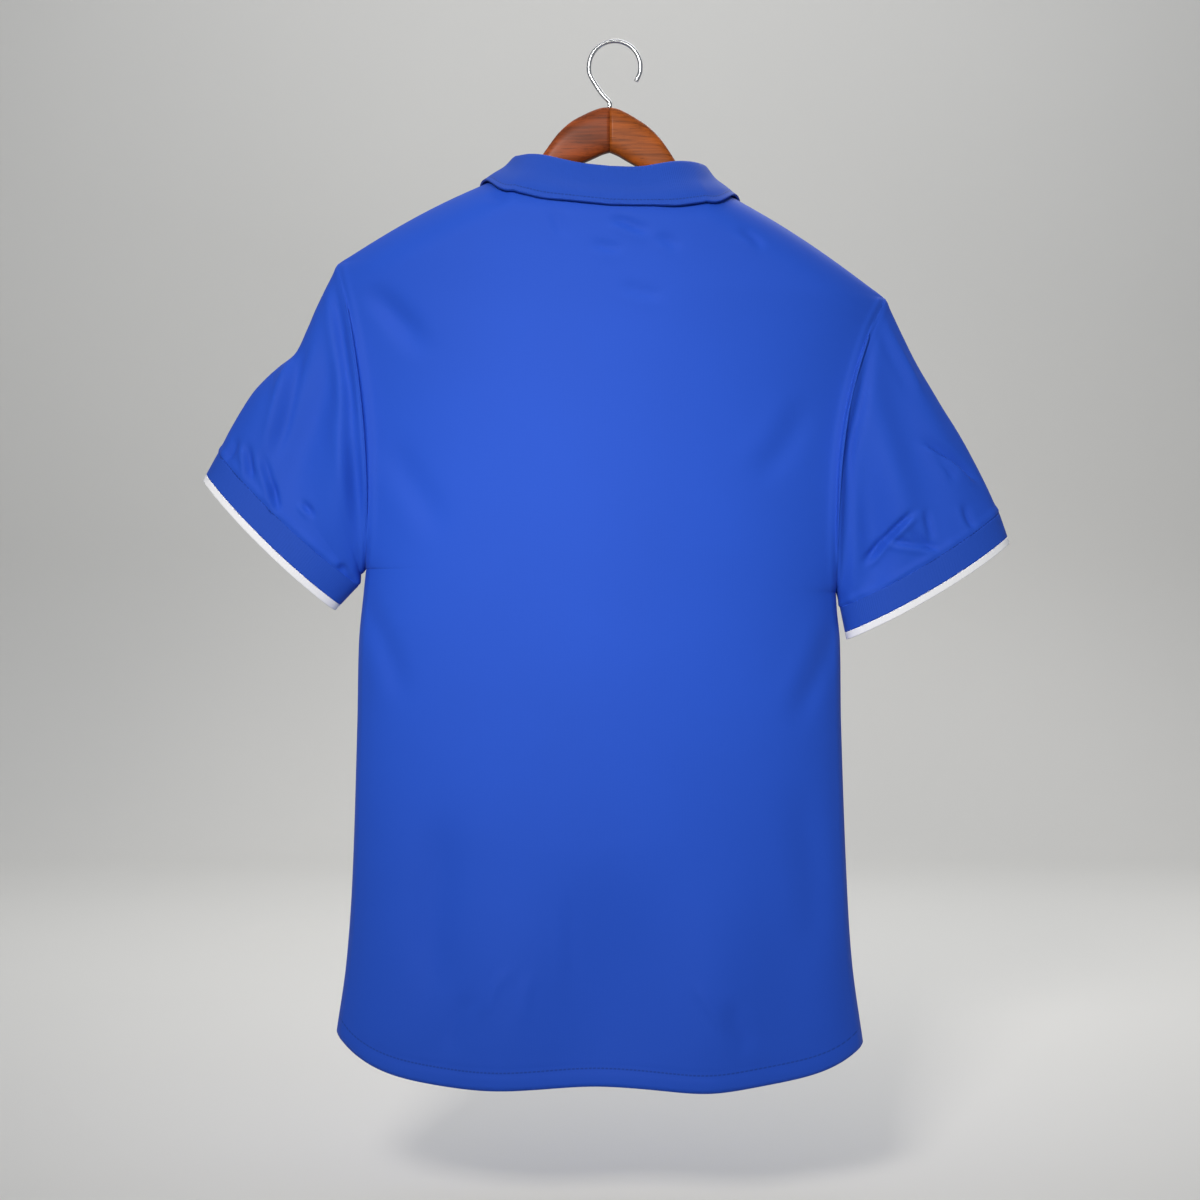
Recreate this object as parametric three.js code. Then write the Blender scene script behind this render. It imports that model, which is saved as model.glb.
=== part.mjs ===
// A football jersey hung on a wooden hanger, seen from its back, as cut and sewn pieces.
// Millimetres, +Z up. The jersey's back faces -Y and its front faces +Y.
// The origin is the hang point, at the inner top of the hook. "Left" is -X.

import * as THREE from "three";

// Driving dimensions

const CLOTH = 1.5;
const COLLAR_CLOTH = 1.8;
const CUFF_CLOTH = 2.2;
const SEAM_GAP = 0.3;

const BACK_DEPTH = 60;
const FRONT_DEPTH = 62;
const HEM_EXTRA_DEPTH = 6;
const ARMHOLE_HALF_DEPTH = 34;
const SHOULDER_WRAP = 42;
const PANEL_ROUNDNESS = 0.9;

const HEM_CENTRE_Z = -829;
const HEM_CORNER_POWER = 6;

const NECK_X = -3.8;
const NECK_HALF_WIDTH = 75.6;
const BACK_NECK_Z = -130;
const V_NECK_Z = -228;
const SHOULDER_CROWN = 5;

const BACK_COLUMNS = [9, 12, 9];
const FRONT_COLUMNS = [10, 18, 10];
const ARMHOLE_ROWS = 12;
const SIDE_ROWS = 13;
const SLEEVE_STEPS = 11;

// Each side's edges. Rows from the shoulder down: height and the panel edge's x.
const LEFT = {
  name: "left",
  sign: -1,
  neckZ: -105,
  shoulderZ: -178,
  armpitZ: -424,
  edge: [
    { z: -178, x: -223 },
    { z: -225, x: -211 },
    { z: -289, x: -201 },
    { z: -346, x: -197 },
    { z: -398, x: -198 },
    { z: -440, x: -202 },
    { z: -481, x: -206 },
    { z: -550, x: -207.5 },
    { z: -675, x: -211.5 },
    { z: -743, x: -216.5 },
    { z: -795, x: -224 },
  ],
  cuffSeam: { outer: [-320, -332], inner: [-208, -438] },
  cuffHem: { outer: [-331.5, -353], inner: [-226, -457] },
  cuffHalfDepth: 27,
  cuffBow: 3,
  hemZ: -795,
};
const RIGHT = {
  name: "right",
  sign: 1,
  neckZ: -113.7,
  shoulderZ: -206,
  armpitZ: -442,
  edge: [
    { z: -206, x: 218 },
    { z: -233, x: 204 },
    { z: -283, x: 188 },
    { z: -330, x: 180 },
    { z: -378, x: 177 },
    { z: -414, x: 177 },
    { z: -456, x: 179 },
    { z: -482, x: 181.5 },
    { z: -550, x: 182.5 },
    { z: -675, x: 187 },
    { z: -743, x: 191.5 },
    { z: -804, x: 200 },
  ],
  cuffSeam: { outer: [310, -380.5], inner: [182.5, -456] },
  cuffHem: { outer: [318, -403.5], inner: [187.5, -480.5] },
  cuffHalfDepth: 27,
  cuffBow: 4,
  hemZ: -804,
};
const BLUE_CUFF_SHARE = 0.76;

// How far each sleeve's top line stands out of a straight one, by share from armhole to cuff.
const SLEEVE_CROWNS = [
  { share: 0, left: 0, right: 0 },
  { share: 0.2, left: -4.2, right: -2 },
  { share: 0.3, left: -7.5, right: -2.3 },
  { share: 0.42, left: -10.2, right: -1 },
  { share: 0.51, left: -4.6, right: 0 },
  { share: 0.6, left: 0, right: 1.5 },
  { share: 0.7, left: 3.1, right: 2.4 },
  { share: 0.88, left: 2.6, right: 2 },
  { share: 1, left: 0, right: 0 },
];
const CROWN_DIRECTION = { x: 0.6, z: 0.8 };
const CROWN_UNDERSIDE = -0.2;

// Soft folds of the panels. A row for each: its middle line's x at the top and bottom, the
// heights between which it lies, its half-width, and its height out of the panel (- is a trough).
const BACK_FOLDS = [
  { topX: -192, bottomX: -150, top: -196, bottom: -262, width: 15, rise: -5 },
  { topX: -2, bottomX: -14, top: -640, bottom: -900, width: 52, rise: -9 },
  { topX: -78, bottomX: -92, top: -660, bottom: -920, width: 34, rise: 4 },
  { topX: 72, bottomX: 78, top: -650, bottom: -920, width: 32, rise: 5 },
  { topX: -140, bottomX: -152, top: -560, bottom: -880, width: 26, rise: -3 },
  { topX: 128, bottomX: 140, top: -580, bottom: -890, width: 26, rise: -3 },
];
const FRONT_FOLDS = [
  { topX: -118, bottomX: -138, top: -330, bottom: -960, width: 24, rise: -11 },
  { topX: -72, bottomX: -88, top: -300, bottom: -960, width: 22, rise: 9 },
  { topX: -34, bottomX: -42, top: -330, bottom: -960, width: 21, rise: -10 },
  { topX: 6, bottomX: 4, top: -300, bottom: -960, width: 22, rise: 8 },
  { topX: 42, bottomX: 52, top: -340, bottom: -960, width: 22, rise: -11 },
  { topX: 88, bottomX: 100, top: -300, bottom: -960, width: 24, rise: 9 },
];

// Soft folds of the sleeves. Turn is in degrees from the top edge, towards the back below 180 and
// towards the front above it, at the armhole and at the cuff. Share runs from armhole to cuff.
const SLEEVE_FOLDS = {
  left: [
    { from: 52, to: 88, start: 0.0, end: 0.95, width: 17, rise: -7 },
    { from: 86, to: 128, start: 0.0, end: 0.8, width: 15, rise: 4 },
    { from: 24, to: 44, start: 0.15, end: 1.0, width: 14, rise: 3 },
    { from: 300, to: 272, start: 0.0, end: 1.0, width: 18, rise: -7 },
    { from: 258, to: 232, start: 0.1, end: 0.9, width: 15, rise: 4 },
  ],
  right: [
    { from: 40, to: 70, start: 0.0, end: 0.98, width: 15, rise: -3 },
    { from: 58, to: 96, start: 0.1, end: 0.9, width: 11, rise: 3 },
    { from: 88, to: 128, start: 0.0, end: 0.98, width: 19, rise: -9 },
    { from: 22, to: 50, start: 0.1, end: 0.9, width: 13, rise: 3 },
    { from: 304, to: 268, start: 0.0, end: 1.0, width: 18, rise: -7 },
    { from: 262, to: 228, start: 0.1, end: 0.9, width: 15, rise: 4 },
  ],
};

// The collar, by share of the way from the centre back (0) over the neck point to the V (1).
// The roll is placed off the neck's middle, and the edge by its x, its turn over the shoulder in
// degrees (- towards the back), its drop below that, and its clearance. Bow rounds the fall.
const COLLAR = [
  { share: 0.0, rollX: 0, rollY: -40, rollZ: -4, edgeX: 0, edgeTurn: -77, edgeDrop: 0, clear: 4, bow: 2 },
  { share: 0.1, rollX: 26, rollY: -38, rollZ: -2, edgeX: 31, edgeTurn: -75, edgeDrop: 0, clear: 4, bow: 2 },
  { share: 0.2, rollX: 51, rollY: -31, rollZ: 5, edgeX: 60, edgeTurn: -72, edgeDrop: 0, clear: 4, bow: 3 },
  { share: 0.3, rollX: 68, rollY: -18, rollZ: 8, edgeX: 87, edgeTurn: -56, edgeDrop: 0, clear: 4, bow: 2 },
  { share: 0.4, rollX: 74, rollY: 3, rollZ: 10, edgeX: 104, edgeTurn: 1, edgeDrop: 0, clear: 3, bow: 1 },
  { share: 0.5, rollX: 69, rollY: 34, rollZ: -1, edgeX: 108, edgeTurn: 62, edgeDrop: 0, clear: 4, bow: 3 },
  { share: 0.62, rollX: 57, rollY: 60, rollZ: -24, edgeX: 102, edgeTurn: 90, edgeDrop: 4, clear: 4, bow: 4 },
  { share: 0.8, rollX: 32, rollY: 72, rollZ: -70, edgeX: 82, edgeTurn: 90, edgeDrop: 58, clear: 4, bow: 4 },
  { share: 1.0, rollX: 3, rollY: 70, rollZ: -114, edgeX: 54, edgeTurn: 90, edgeDrop: 112, clear: 4, bow: 4 },
];
const NECK_POINT_SHARE = 0.4;
const COLLAR_FOOT = 1;
const COLLAR_STATIONS = 22;
const COLLAR_END_SHARE = 0.985;
const COLLAR_ROLL_RADIUS = 2.4;

// The hanger's wooden arms, from the centre joint out: the distance along, the height of the
// dome's top, the wood's depth below its top, and half its thickness.
const ARM_SECTIONS = [
  { along: 0, dome: -52, tall: 36, half: 8 },
  { along: 6, dome: -52.6, tall: 37.5, half: 8 },
  { along: 12.5, dome: -55, tall: 38.5, half: 8 },
  { along: 20, dome: -58.8, tall: 38.5, half: 8 },
  { along: 31, dome: -65.5, tall: 37, half: 8 },
  { along: 41, dome: -75, tall: 33, half: 8 },
  { along: 48, dome: -84.5, tall: 30, half: 8 },
  { along: 55, dome: -95, tall: 27, half: 8 },
  { along: 62, dome: -105, tall: 25, half: 8 },
  { along: 72, dome: -115.5, tall: 24, half: 8 },
  { along: 84, dome: -115, tall: 24, half: 9 },
  { along: 105, dome: -90, tall: 24, half: 9.5 },
  { along: 135, dome: -90, tall: 23, half: 10.5 },
  { along: 165, dome: -90, tall: 21, half: 11 },
  { along: 188, dome: -90, tall: 16, half: 9.5 },
  { along: 200, dome: -90, tall: 11, half: 7 },
  { along: 205, dome: -90, tall: 7, half: 4.5 },
];
const ARM_SIDES = 12;
const ARM_CLEARANCE = 2.2;
const HANGER_X = -4;
const HANGER_TILT = 3.6;

const WIRE_RADIUS = 1.8;
const HOOK_RADIUS = 19;
const STEM_LEAN_X = -4;
const WIRE_SIDES = 10;

const ROYAL = "#2a52bd";
const ROYAL_DARK = "#2747ab";
const WHITE = "#e8eaef";
const WALNUT_LEFT = "#8f5433";
const WALNUT_RIGHT = "#9a5a2c";
const STEEL = "#c4c6c9";

// Small helpers

const vec = (x, y, z) => new THREE.Vector3(x, y, z);
const lerp = THREE.MathUtils.lerp;
const clamp = THREE.MathUtils.clamp;
const smooth = (t) => THREE.MathUtils.smoothstep(t, 0, 1);
const moved = (point, along, by) => point.clone().addScaledVector(along, by);

// A value of a list at a place that may lie between two of its entries.
function valueAt(list, place) {
  const low = Math.min(Math.floor(place), list.length - 2);
  return lerp(list[low], list[low + 1], place - low);
}

// A smooth value between the rows of a table, by its key column.
function between(rows, key, column, at) {
  const falling = rows[0][key] > rows[rows.length - 1][key];
  const order = falling ? -1 : 1;
  const last = rows.length - 1;
  if ((at - rows[0][key]) * order <= 0) return rows[0][column];
  if ((at - rows[last][key]) * order >= 0) return rows[last][column];
  let i = 0;
  while ((at - rows[i + 1][key]) * order > 0) i += 1;
  const slope = (a, b) => (rows[b][column] - rows[a][column]) / (rows[b][key] - rows[a][key]);
  const span = rows[i + 1][key] - rows[i][key];
  const t = (at - rows[i][key]) / span;
  const startSlope = i > 0 ? slope(i - 1, i + 1) : slope(i, i + 1);
  const endSlope = i + 1 < last ? slope(i, i + 2) : slope(i, i + 1);
  const t2 = t * t;
  const t3 = t2 * t;
  return (
    (2 * t3 - 3 * t2 + 1) * rows[i][column] +
    (t3 - 2 * t2 + t) * span * startSlope +
    (3 * t2 - 2 * t3) * rows[i + 1][column] +
    (t3 - t2) * span * endSlope
  );
}

// The body's two edges

const edgeX = (side, z) => between(side.edge, "z", "x", z);

// Half the armhole's depth at a height: nothing at the shoulder point and at the armpit.
function armholeDepth(side, z) {
  const share = clamp((side.shoulderZ - z) / (side.shoulderZ - side.armpitZ), 0, 1);
  const turn = Math.acos(1 - 2 * share);
  return ARMHOLE_HALF_DEPTH * Math.sin(turn);
}

// The heights of a side edge's rows: even turns round the armhole, then even steps to the hem.
function edgeHeights(side) {
  const heights = [];
  for (let row = 0; row <= ARMHOLE_ROWS; row += 1) {
    const down = (1 - Math.cos((Math.PI * row) / ARMHOLE_ROWS)) / 2;
    heights.push(lerp(side.shoulderZ, side.armpitZ, down));
  }
  for (let row = 1; row <= SIDE_ROWS; row += 1) {
    heights.push(lerp(side.armpitZ, side.hemZ, row / SIDE_ROWS));
  }
  return heights;
}

// The shoulder line's height at each x, carried straight across the neck opening.
function shoulderLine(x) {
  const off = (x - NECK_X) / NECK_HALF_WIDTH;
  if (Math.abs(off) < 1) return lerp(LEFT.neckZ, RIGHT.neckZ, (1 + off) / 2);
  const side = off < 0 ? LEFT : RIGHT;
  const neckX = NECK_X + side.sign * NECK_HALF_WIDTH;
  const share = clamp((x - neckX) / (side.edge[0].x - neckX), 0, 1);
  const crown = SHOULDER_CROWN * Math.sin(Math.PI * share);
  return lerp(side.neckZ, side.shoulderZ, share) + crown;
}

// A panel's top edge: the shoulder seams, and the neck seam between them.
function topEdge(x, neck) {
  const off = Math.abs((x - NECK_X) / NECK_HALF_WIDTH);
  if (off >= 1) return shoulderLine(x);
  return lerp(neck.z, shoulderLine(x), 1 - (1 - off ** neck.power) ** neck.squareness);
}

const BACK_NECK = { z: BACK_NECK_Z, power: 2, squareness: 0.62 };
const FRONT_NECK = { z: V_NECK_Z, power: 1.1, squareness: 0.95 };

// How deep the cloth lies behind the shoulder line, as a share of its full depth.
function wrapShare(drop) {
  const share = clamp(drop / SHOULDER_WRAP, 0, 1);
  return Math.sqrt(1 - (1 - share) ** 2);
}

// How far the folds of a table lift the cloth at a point of the panel.
function foldLift(folds, x, z) {
  let lift = 0;
  for (const fold of folds) {
    const share = (fold.top - z) / (fold.top - fold.bottom);
    if (share <= 0 || share >= 1) continue;
    const middle = lerp(fold.topX, fold.bottomX, share);
    const across = (x - middle) / fold.width;
    lift += fold.rise * Math.sin(Math.PI * share) ** 0.8 * Math.exp(-across * across);
  }
  return lift;
}

// The front and the back panel

const LAST_ROW = ARMHOLE_ROWS + SIDE_ROWS;
const HEIGHTS = [edgeHeights(LEFT), edgeHeights(RIGHT)];
const BACK = {
  sign: -1,
  neck: BACK_NECK,
  depth: BACK_DEPTH,
  folds: BACK_FOLDS,
  columns: BACK_COLUMNS,
};
const FRONT = {
  sign: 1,
  neck: FRONT_NECK,
  depth: FRONT_DEPTH,
  folds: FRONT_FOLDS,
  columns: FRONT_COLUMNS,
};

// A panel's outer point at across (-1 left edge, 1 right edge) and a row of the grid.
function panelPoint(panel, across, row) {
  const swing = Math.sin((Math.PI / 2) * across);
  const bulge = Math.max(0, Math.cos((Math.PI / 2) * across));
  const share = (1 + swing) / 2;
  const rowHeight = (place) => {
    const [leftZ, rightZ] = HEIGHTS.map((line) => valueAt(line, place));
    return lerp(leftZ, rightZ, share);
  };
  const topX = lerp(LEFT.edge[0].x, RIGHT.edge[0].x, share);
  const rise = topEdge(topX, panel.neck) - rowHeight(0);
  const fade = 1 - smooth(row / ARMHOLE_ROWS);
  const low = clamp((row - ARMHOLE_ROWS) / SIDE_ROWS, 0, 1);
  const corner = Math.abs(swing) ** HEM_CORNER_POWER;
  const hemDrop = (HEM_CENTRE_Z - rowHeight(LAST_ROW)) * (1 - corner);
  const z = rowHeight(row) + rise * fade + hemDrop * low * low;
  const x = lerp(edgeX(LEFT, z), edgeX(RIGHT, z), share);
  const depth = panelDepth(panel, x, z, bulge, low);
  return vec(x, panel.sign * depth, z);
}

// The panel's depth at a place. Bulge is 0 at the side edges and 1 in the middle.
function panelDepth(panel, x, z, bulge, low) {
  const drop = shoulderLine(x) - z;
  const full = (panel.depth + HEM_EXTRA_DEPTH * low) * wrapShare(drop) * bulge ** PANEL_ROUNDNESS;
  const edge = armholeDepth(x < 0 ? LEFT : RIGHT, z) * (1 - bulge) ** 4;
  const mask = Math.min(1, 1.8 * bulge * smooth(drop / SHOULDER_WRAP));
  return full + edge + foldLift(panel.folds, x, z) * mask;
}

// The across values of a panel's columns, with one on each neck point.
function panelColumns(counts) {
  const middle = (LEFT.edge[0].x + RIGHT.edge[0].x) / 2;
  const half = (RIGHT.edge[0].x - LEFT.edge[0].x) / 2;
  const acrossOf = (x) => (Math.asin((x - middle) / half) * 2) / Math.PI;
  const stops = [-1, acrossOf(NECK_X - NECK_HALF_WIDTH), acrossOf(NECK_X + NECK_HALF_WIDTH), 1];
  const columns = [-1];
  counts.forEach((count, part) => {
    for (let i = 1; i <= count; i += 1) columns.push(lerp(stops[part], stops[part + 1], i / count));
  });
  return columns;
}

// Mean normals of a grid of points, turned to face away from the garment's middle.
function gridNormals(points, outward) {
  const rows = points.length;
  const columns = points[0].length;
  return points.map((line, i) =>
    line.map((point, j) => {
      const down = points[Math.min(i + 1, rows - 1)][j].clone().sub(points[Math.max(i - 1, 0)][j]);
      const side = line[Math.min(j + 1, columns - 1)].clone().sub(line[Math.max(j - 1, 0)]);
      const normal = down.cross(side).normalize();
      if (normal.dot(outward(point)) < 0) normal.negate();
      return normal;
    }),
  );
}

// The way that both walls turn in at the armhole seam, at a turn from the shoulder point.
function armholeMitre(side, turn) {
  const inward = vec(0, 0, 0);
  inward.z = -Math.cos(turn);
  inward.y = Math.sin(turn) * 1.6;
  inward.x = -side.sign * 0.5 * clamp(-Math.cos(turn), 0, 1) ** 3;
  return inward.normalize();
}

function makePanel(panel) {
  const columns = panelColumns(panel.columns);
  const lastColumn = columns.length - 1;
  const outer = [];
  for (let row = 0; row <= LAST_ROW; row += 1) {
    outer.push(columns.map((across) => panelPoint(panel, across, row)));
  }
  const normals = gridNormals(outer, () => vec(0, panel.sign, 0.35));
  const inner = outer.map((line, i) => line.map((point, j) => moved(point, normals[i][j], -CLOTH)));
  const half = SEAM_GAP / 2;
  for (let row = 0; row <= LAST_ROW; row += 1) {
    for (const [j, side] of [[0, LEFT], [lastColumn, RIGHT]]) {
      const point = outer[row][j];
      let inward = vec(-side.sign, 0, 0);
      if (row <= ARMHOLE_ROWS) {
        inward = armholeMitre(side, (Math.PI * row) / ARMHOLE_ROWS);
        inward.y *= -panel.sign;
        point.x -= side.sign * half;
      }
      if (row === 0 || row >= ARMHOLE_ROWS) point.y += panel.sign * half;
      inner[row][j] = moved(point, inward, row === ARMHOLE_ROWS ? CLOTH * 1.5 : CLOTH);
    }
  }
  for (let j = 1; j < lastColumn; j += 1) {
    const point = outer[0][j];
    const onShoulder = Math.abs(point.x - NECK_X) > NECK_HALF_WIDTH - 0.01;
    if (onShoulder) point.y += panel.sign * half;
    const inward = onShoulder ? vec(0, 0, -1) : normals[1][j].clone().negate();
    inner[0][j] = moved(point, inward, CLOTH * 1.1);
  }
  return shell(outer, inner, false);
}

// The collar, one folded strip along the neck seam

// The neck seam on one side, by share of the way from the centre back to the V.
function neckSeam(side, share) {
  const onBack = share < NECK_POINT_SHARE;
  const neckness = onBack ? share / NECK_POINT_SHARE : (1 - share) / (1 - NECK_POINT_SHARE);
  const x = NECK_X + side.sign * NECK_HALF_WIDTH * Math.sin((Math.PI / 2) * neckness);
  const panel = onBack ? BACK : FRONT;
  const z = topEdge(x, panel.neck);
  return onPanel(panel, x, z, 0);
}

// A point that lies clear of a panel at a place above the armholes.
function onPanel(panel, x, z, clear) {
  const share = (x - edgeX(LEFT, z)) / (edgeX(RIGHT, z) - edgeX(LEFT, z));
  const bulge = Math.sqrt(Math.max(0, 1 - (2 * share - 1) ** 2));
  const depth = panelDepth(panel, x, z, bulge, 0);
  const top = 1 - clamp((shoulderLine(x) - z) / SHOULDER_WRAP, 0, 1);
  return vec(x, panel.sign * (depth + clear * Math.sqrt(1 - top * top)), z + clear * top);
}

// The strip's path at a share: up the stand, over the roll, and down the fall to its edge.
function collarPath(side, share) {
  const size = (column) => between(COLLAR, "share", column, share);
  const seam = neckSeam(side, share);
  const level = (off) => lerp(LEFT.neckZ, RIGHT.neckZ, (1 + off / NECK_HALF_WIDTH) / 2);
  const rollOff = side.sign * size("rollX");
  const roll = vec(NECK_X + rollOff, size("rollY"), level(rollOff) + size("rollZ"));
  const edgeOff = side.sign * size("edgeX");
  const turn = THREE.MathUtils.degToRad(Math.abs(size("edgeTurn")));
  const drop = SHOULDER_WRAP * (1 - Math.cos(turn)) + size("edgeDrop");
  const panel = size("edgeTurn") < 0 ? BACK : FRONT;
  const edgeX0 = NECK_X + edgeOff;
  const edge = onPanel(panel, edgeX0, shoulderLine(edgeX0) - drop, size("clear"));
  const stand = roll.clone().sub(seam).normalize();
  const fall = edge.clone().sub(roll).normalize();
  const over = moved(fall, stand, -fall.dot(stand)).normalize();
  const off = moved(stand, fall, -stand.dot(fall)).normalize();
  const bow = size("bow");
  const radius = COLLAR_ROLL_RADIUS;
  return [
    moved(seam, stand, COLLAR_FOOT),
    moved(seam.clone().lerp(roll, 0.55), over, -0.6),
    roll,
    moved(moved(roll, stand, radius * 0.9), over, radius * 0.8),
    moved(moved(roll, stand, radius * 0.8), over, radius * 2),
    moved(roll.clone().lerp(edge, 0.38), off, bow),
    moved(roll.clone().lerp(edge, 0.7), off, bow * 0.8),
    edge,
  ];
}

// Normals of a strip's grid, all to the same side of it along its fold.
function stripNormals(points) {
  const lastRow = points.length - 1;
  return points.map((line, i) =>
    line.map((_, j) => {
      const along = points[Math.min(i + 1, lastRow)][j].clone().sub(points[Math.max(i - 1, 0)][j]);
      const to = line[Math.min(j + 1, line.length - 1)];
      const across = to.clone().sub(line[Math.max(j - 1, 0)]);
      return along.cross(across).normalize();
    }),
  );
}

function makeCollar() {
  const stations = [];
  for (let i = -COLLAR_STATIONS; i <= COLLAR_STATIONS; i += 1) {
    const share = (Math.abs(i) / COLLAR_STATIONS) * COLLAR_END_SHARE;
    stations.push(collarPath(i < 0 ? LEFT : RIGHT, share));
  }
  const normals = stripNormals(stations);
  const sheet = (by) =>
    stations.map((line, i) => line.map((point, j) => moved(point, normals[i][j], by)));
  return shell(sheet(COLLAR_CLOTH / 2), sheet(-COLLAR_CLOTH / 2), false);
}

// The sleeves, cuffs and tipping

function armholeRing(side) {
  const ring = [];
  const steps = 2 * ARMHOLE_ROWS;
  for (let i = 0; i < steps; i += 1) {
    const turn = (2 * Math.PI * i) / steps;
    const down = (1 - Math.cos(turn)) / 2;
    const z = lerp(side.shoulderZ, side.armpitZ, down);
    const facing = i <= ARMHOLE_ROWS ? -1 : 1;
    ring.push(vec(edgeX(side, z), facing * armholeDepth(side, z), z));
  }
  return ring;
}

// An oval ring between its outer and inner end in the XZ plane, bowed down the arm between them.
function cuffRing(side, ends, grow) {
  const [outerX, outerZ] = ends.outer;
  const [innerX, innerZ] = ends.inner;
  const middle = vec((outerX + innerX) / 2, 0, (outerZ + innerZ) / 2);
  const reach = vec(outerX - middle.x, 0, outerZ - middle.z);
  reach.setLength(reach.length() + grow);
  const down = vec(side.sign * reach.z, 0, -side.sign * reach.x).normalize();
  const ring = [];
  const steps = 2 * ARMHOLE_ROWS;
  for (let i = 0; i < steps; i += 1) {
    const turn = (2 * Math.PI * i) / steps;
    const point = moved(middle, reach, Math.cos(turn));
    point.addScaledVector(down, side.cuffBow * Math.sin(turn) ** 2);
    point.y = -(side.cuffHalfDepth + grow) * Math.sin(turn);
    ring.push(point);
  }
  return ring;
}

// The sleeve's lift off its plain loft, by its folds.
function sleeveLift(side, turnDegrees, share) {
  let lift = 0;
  for (const fold of SLEEVE_FOLDS[side.name]) {
    const part = (share - fold.start) / (fold.end - fold.start);
    if (part <= 0 || part >= 1) continue;
    const middle = lerp(fold.from, fold.to, share);
    const across = (turnDegrees - middle) / fold.width;
    lift += fold.rise * Math.sin(Math.PI * part) * Math.exp(-across * across);
  }
  return lift;
}

const middleOf = (ring) => {
  const sum = ring.reduce((total, point) => total.add(point), vec(0, 0, 0));
  return sum.divideScalar(ring.length);
};

function makeSleeve(side) {
  const start = armholeRing(side);
  const end = cuffRing(side, side.cuffSeam, 0);
  const outer = [];
  for (let step = 0; step <= SLEEVE_STEPS; step += 1) {
    const share = step / SLEEVE_STEPS;
    const rise = between(SLEEVE_CROWNS, "share", side.name, share);
    const ring = start.map((point, i) => {
      const turn = (2 * Math.PI * i) / start.length;
      const plain = point.clone().lerp(end[i], share);
      const crown = rise * clamp(Math.cos(turn), CROWN_UNDERSIDE, 1);
      plain.x += side.sign * crown * CROWN_DIRECTION.x;
      plain.z += crown * CROWN_DIRECTION.z;
      return plain;
    });
    const centre = middleOf(ring);
    outer.push(
      ring.map((point, i) => {
        const away = point.clone().sub(centre);
        away.y *= 3;
        const degrees = (360 * i) / ring.length;
        return moved(point, away.normalize(), sleeveLift(side, degrees, share));
      }),
    );
  }
  const inner = innerTube(outer, CLOTH);
  const gap = SEAM_GAP / 2;
  outer[0].forEach((point, i) => {
    point.x += side.sign * gap;
    const turn = (2 * Math.PI * i) / start.length;
    const inward = armholeMitre(side, turn);
    const reach = i === ARMHOLE_ROWS ? CLOTH * 1.5 : CLOTH;
    inner[0][i] = moved(point, inward, reach);
  });
  return shell(outer, inner, true);
}

// The inside of a tube of rings, square to its wall.
function innerTube(rings, wall) {
  const last = rings.length - 1;
  return rings.map((ring, i) => {
    const count = ring.length;
    const centre = middleOf(ring);
    return ring.map((point, j) => {
      const along = rings[Math.min(i + 1, last)][j].clone().sub(rings[Math.max(i - 1, 0)][j]);
      const round = ring[(j + 1) % count].clone().sub(ring[(j + count - 1) % count]);
      const normal = along.cross(round).normalize();
      if (normal.dot(point.clone().sub(centre)) < 0) normal.negate();
      return moved(point, normal, -wall);
    });
  });
}

// A short straight tube between two shares of the cuff.
function makeCuffPiece(side, from, to, steps) {
  const seam = cuffRing(side, side.cuffSeam, (CUFF_CLOTH - CLOTH) / 2);
  const hem = cuffRing(side, side.cuffHem, (CUFF_CLOTH - CLOTH) / 2);
  const length = middleOf(seam).distanceTo(middleOf(hem));
  const gap = (1.6 * SEAM_GAP) / length;
  const outer = [];
  for (let step = 0; step <= steps; step += 1) {
    const share = lerp(from + gap, to, step / steps);
    outer.push(seam.map((point, i) => point.clone().lerp(hem[i], share)));
  }
  return shell(outer, innerTube(outer, CUFF_CLOTH), true);
}

// The hanger

// The top of an arm: the dome near the neck, and just under the shoulder seam beyond it.
function armTop(side, x, dome) {
  const shear = Math.tan(THREE.MathUtils.degToRad(HANGER_TILT));
  const domeTop = dome - (x - HANGER_X) * shear;
  const neckX = NECK_X + side.sign * NECK_HALF_WIDTH;
  if ((x - neckX) * side.sign <= 0) return domeTop;
  return Math.min(domeTop, shoulderLine(x) - CLOTH - ARM_CLEARANCE);
}

function makeArm(side) {
  const joint = (side.sign * SEAM_GAP) / 2;
  const squared = (value) => Math.sign(value) * Math.abs(value) ** 0.7;
  const rings = ARM_SECTIONS.map(({ along, dome, tall, half }) => {
    const x = HANGER_X + joint + side.sign * along;
    const top = armTop(side, x, dome);
    const ring = [];
    for (let i = 0; i < ARM_SIDES; i += 1) {
      const turn = (2 * Math.PI * (i + 0.5)) / ARM_SIDES;
      const drop = (tall / 2) * (1 - squared(Math.cos(turn)));
      ring.push(vec(x, half * squared(Math.sin(turn)), top - drop));
    }
    return ring;
  });
  return loft(rings);
}

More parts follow.
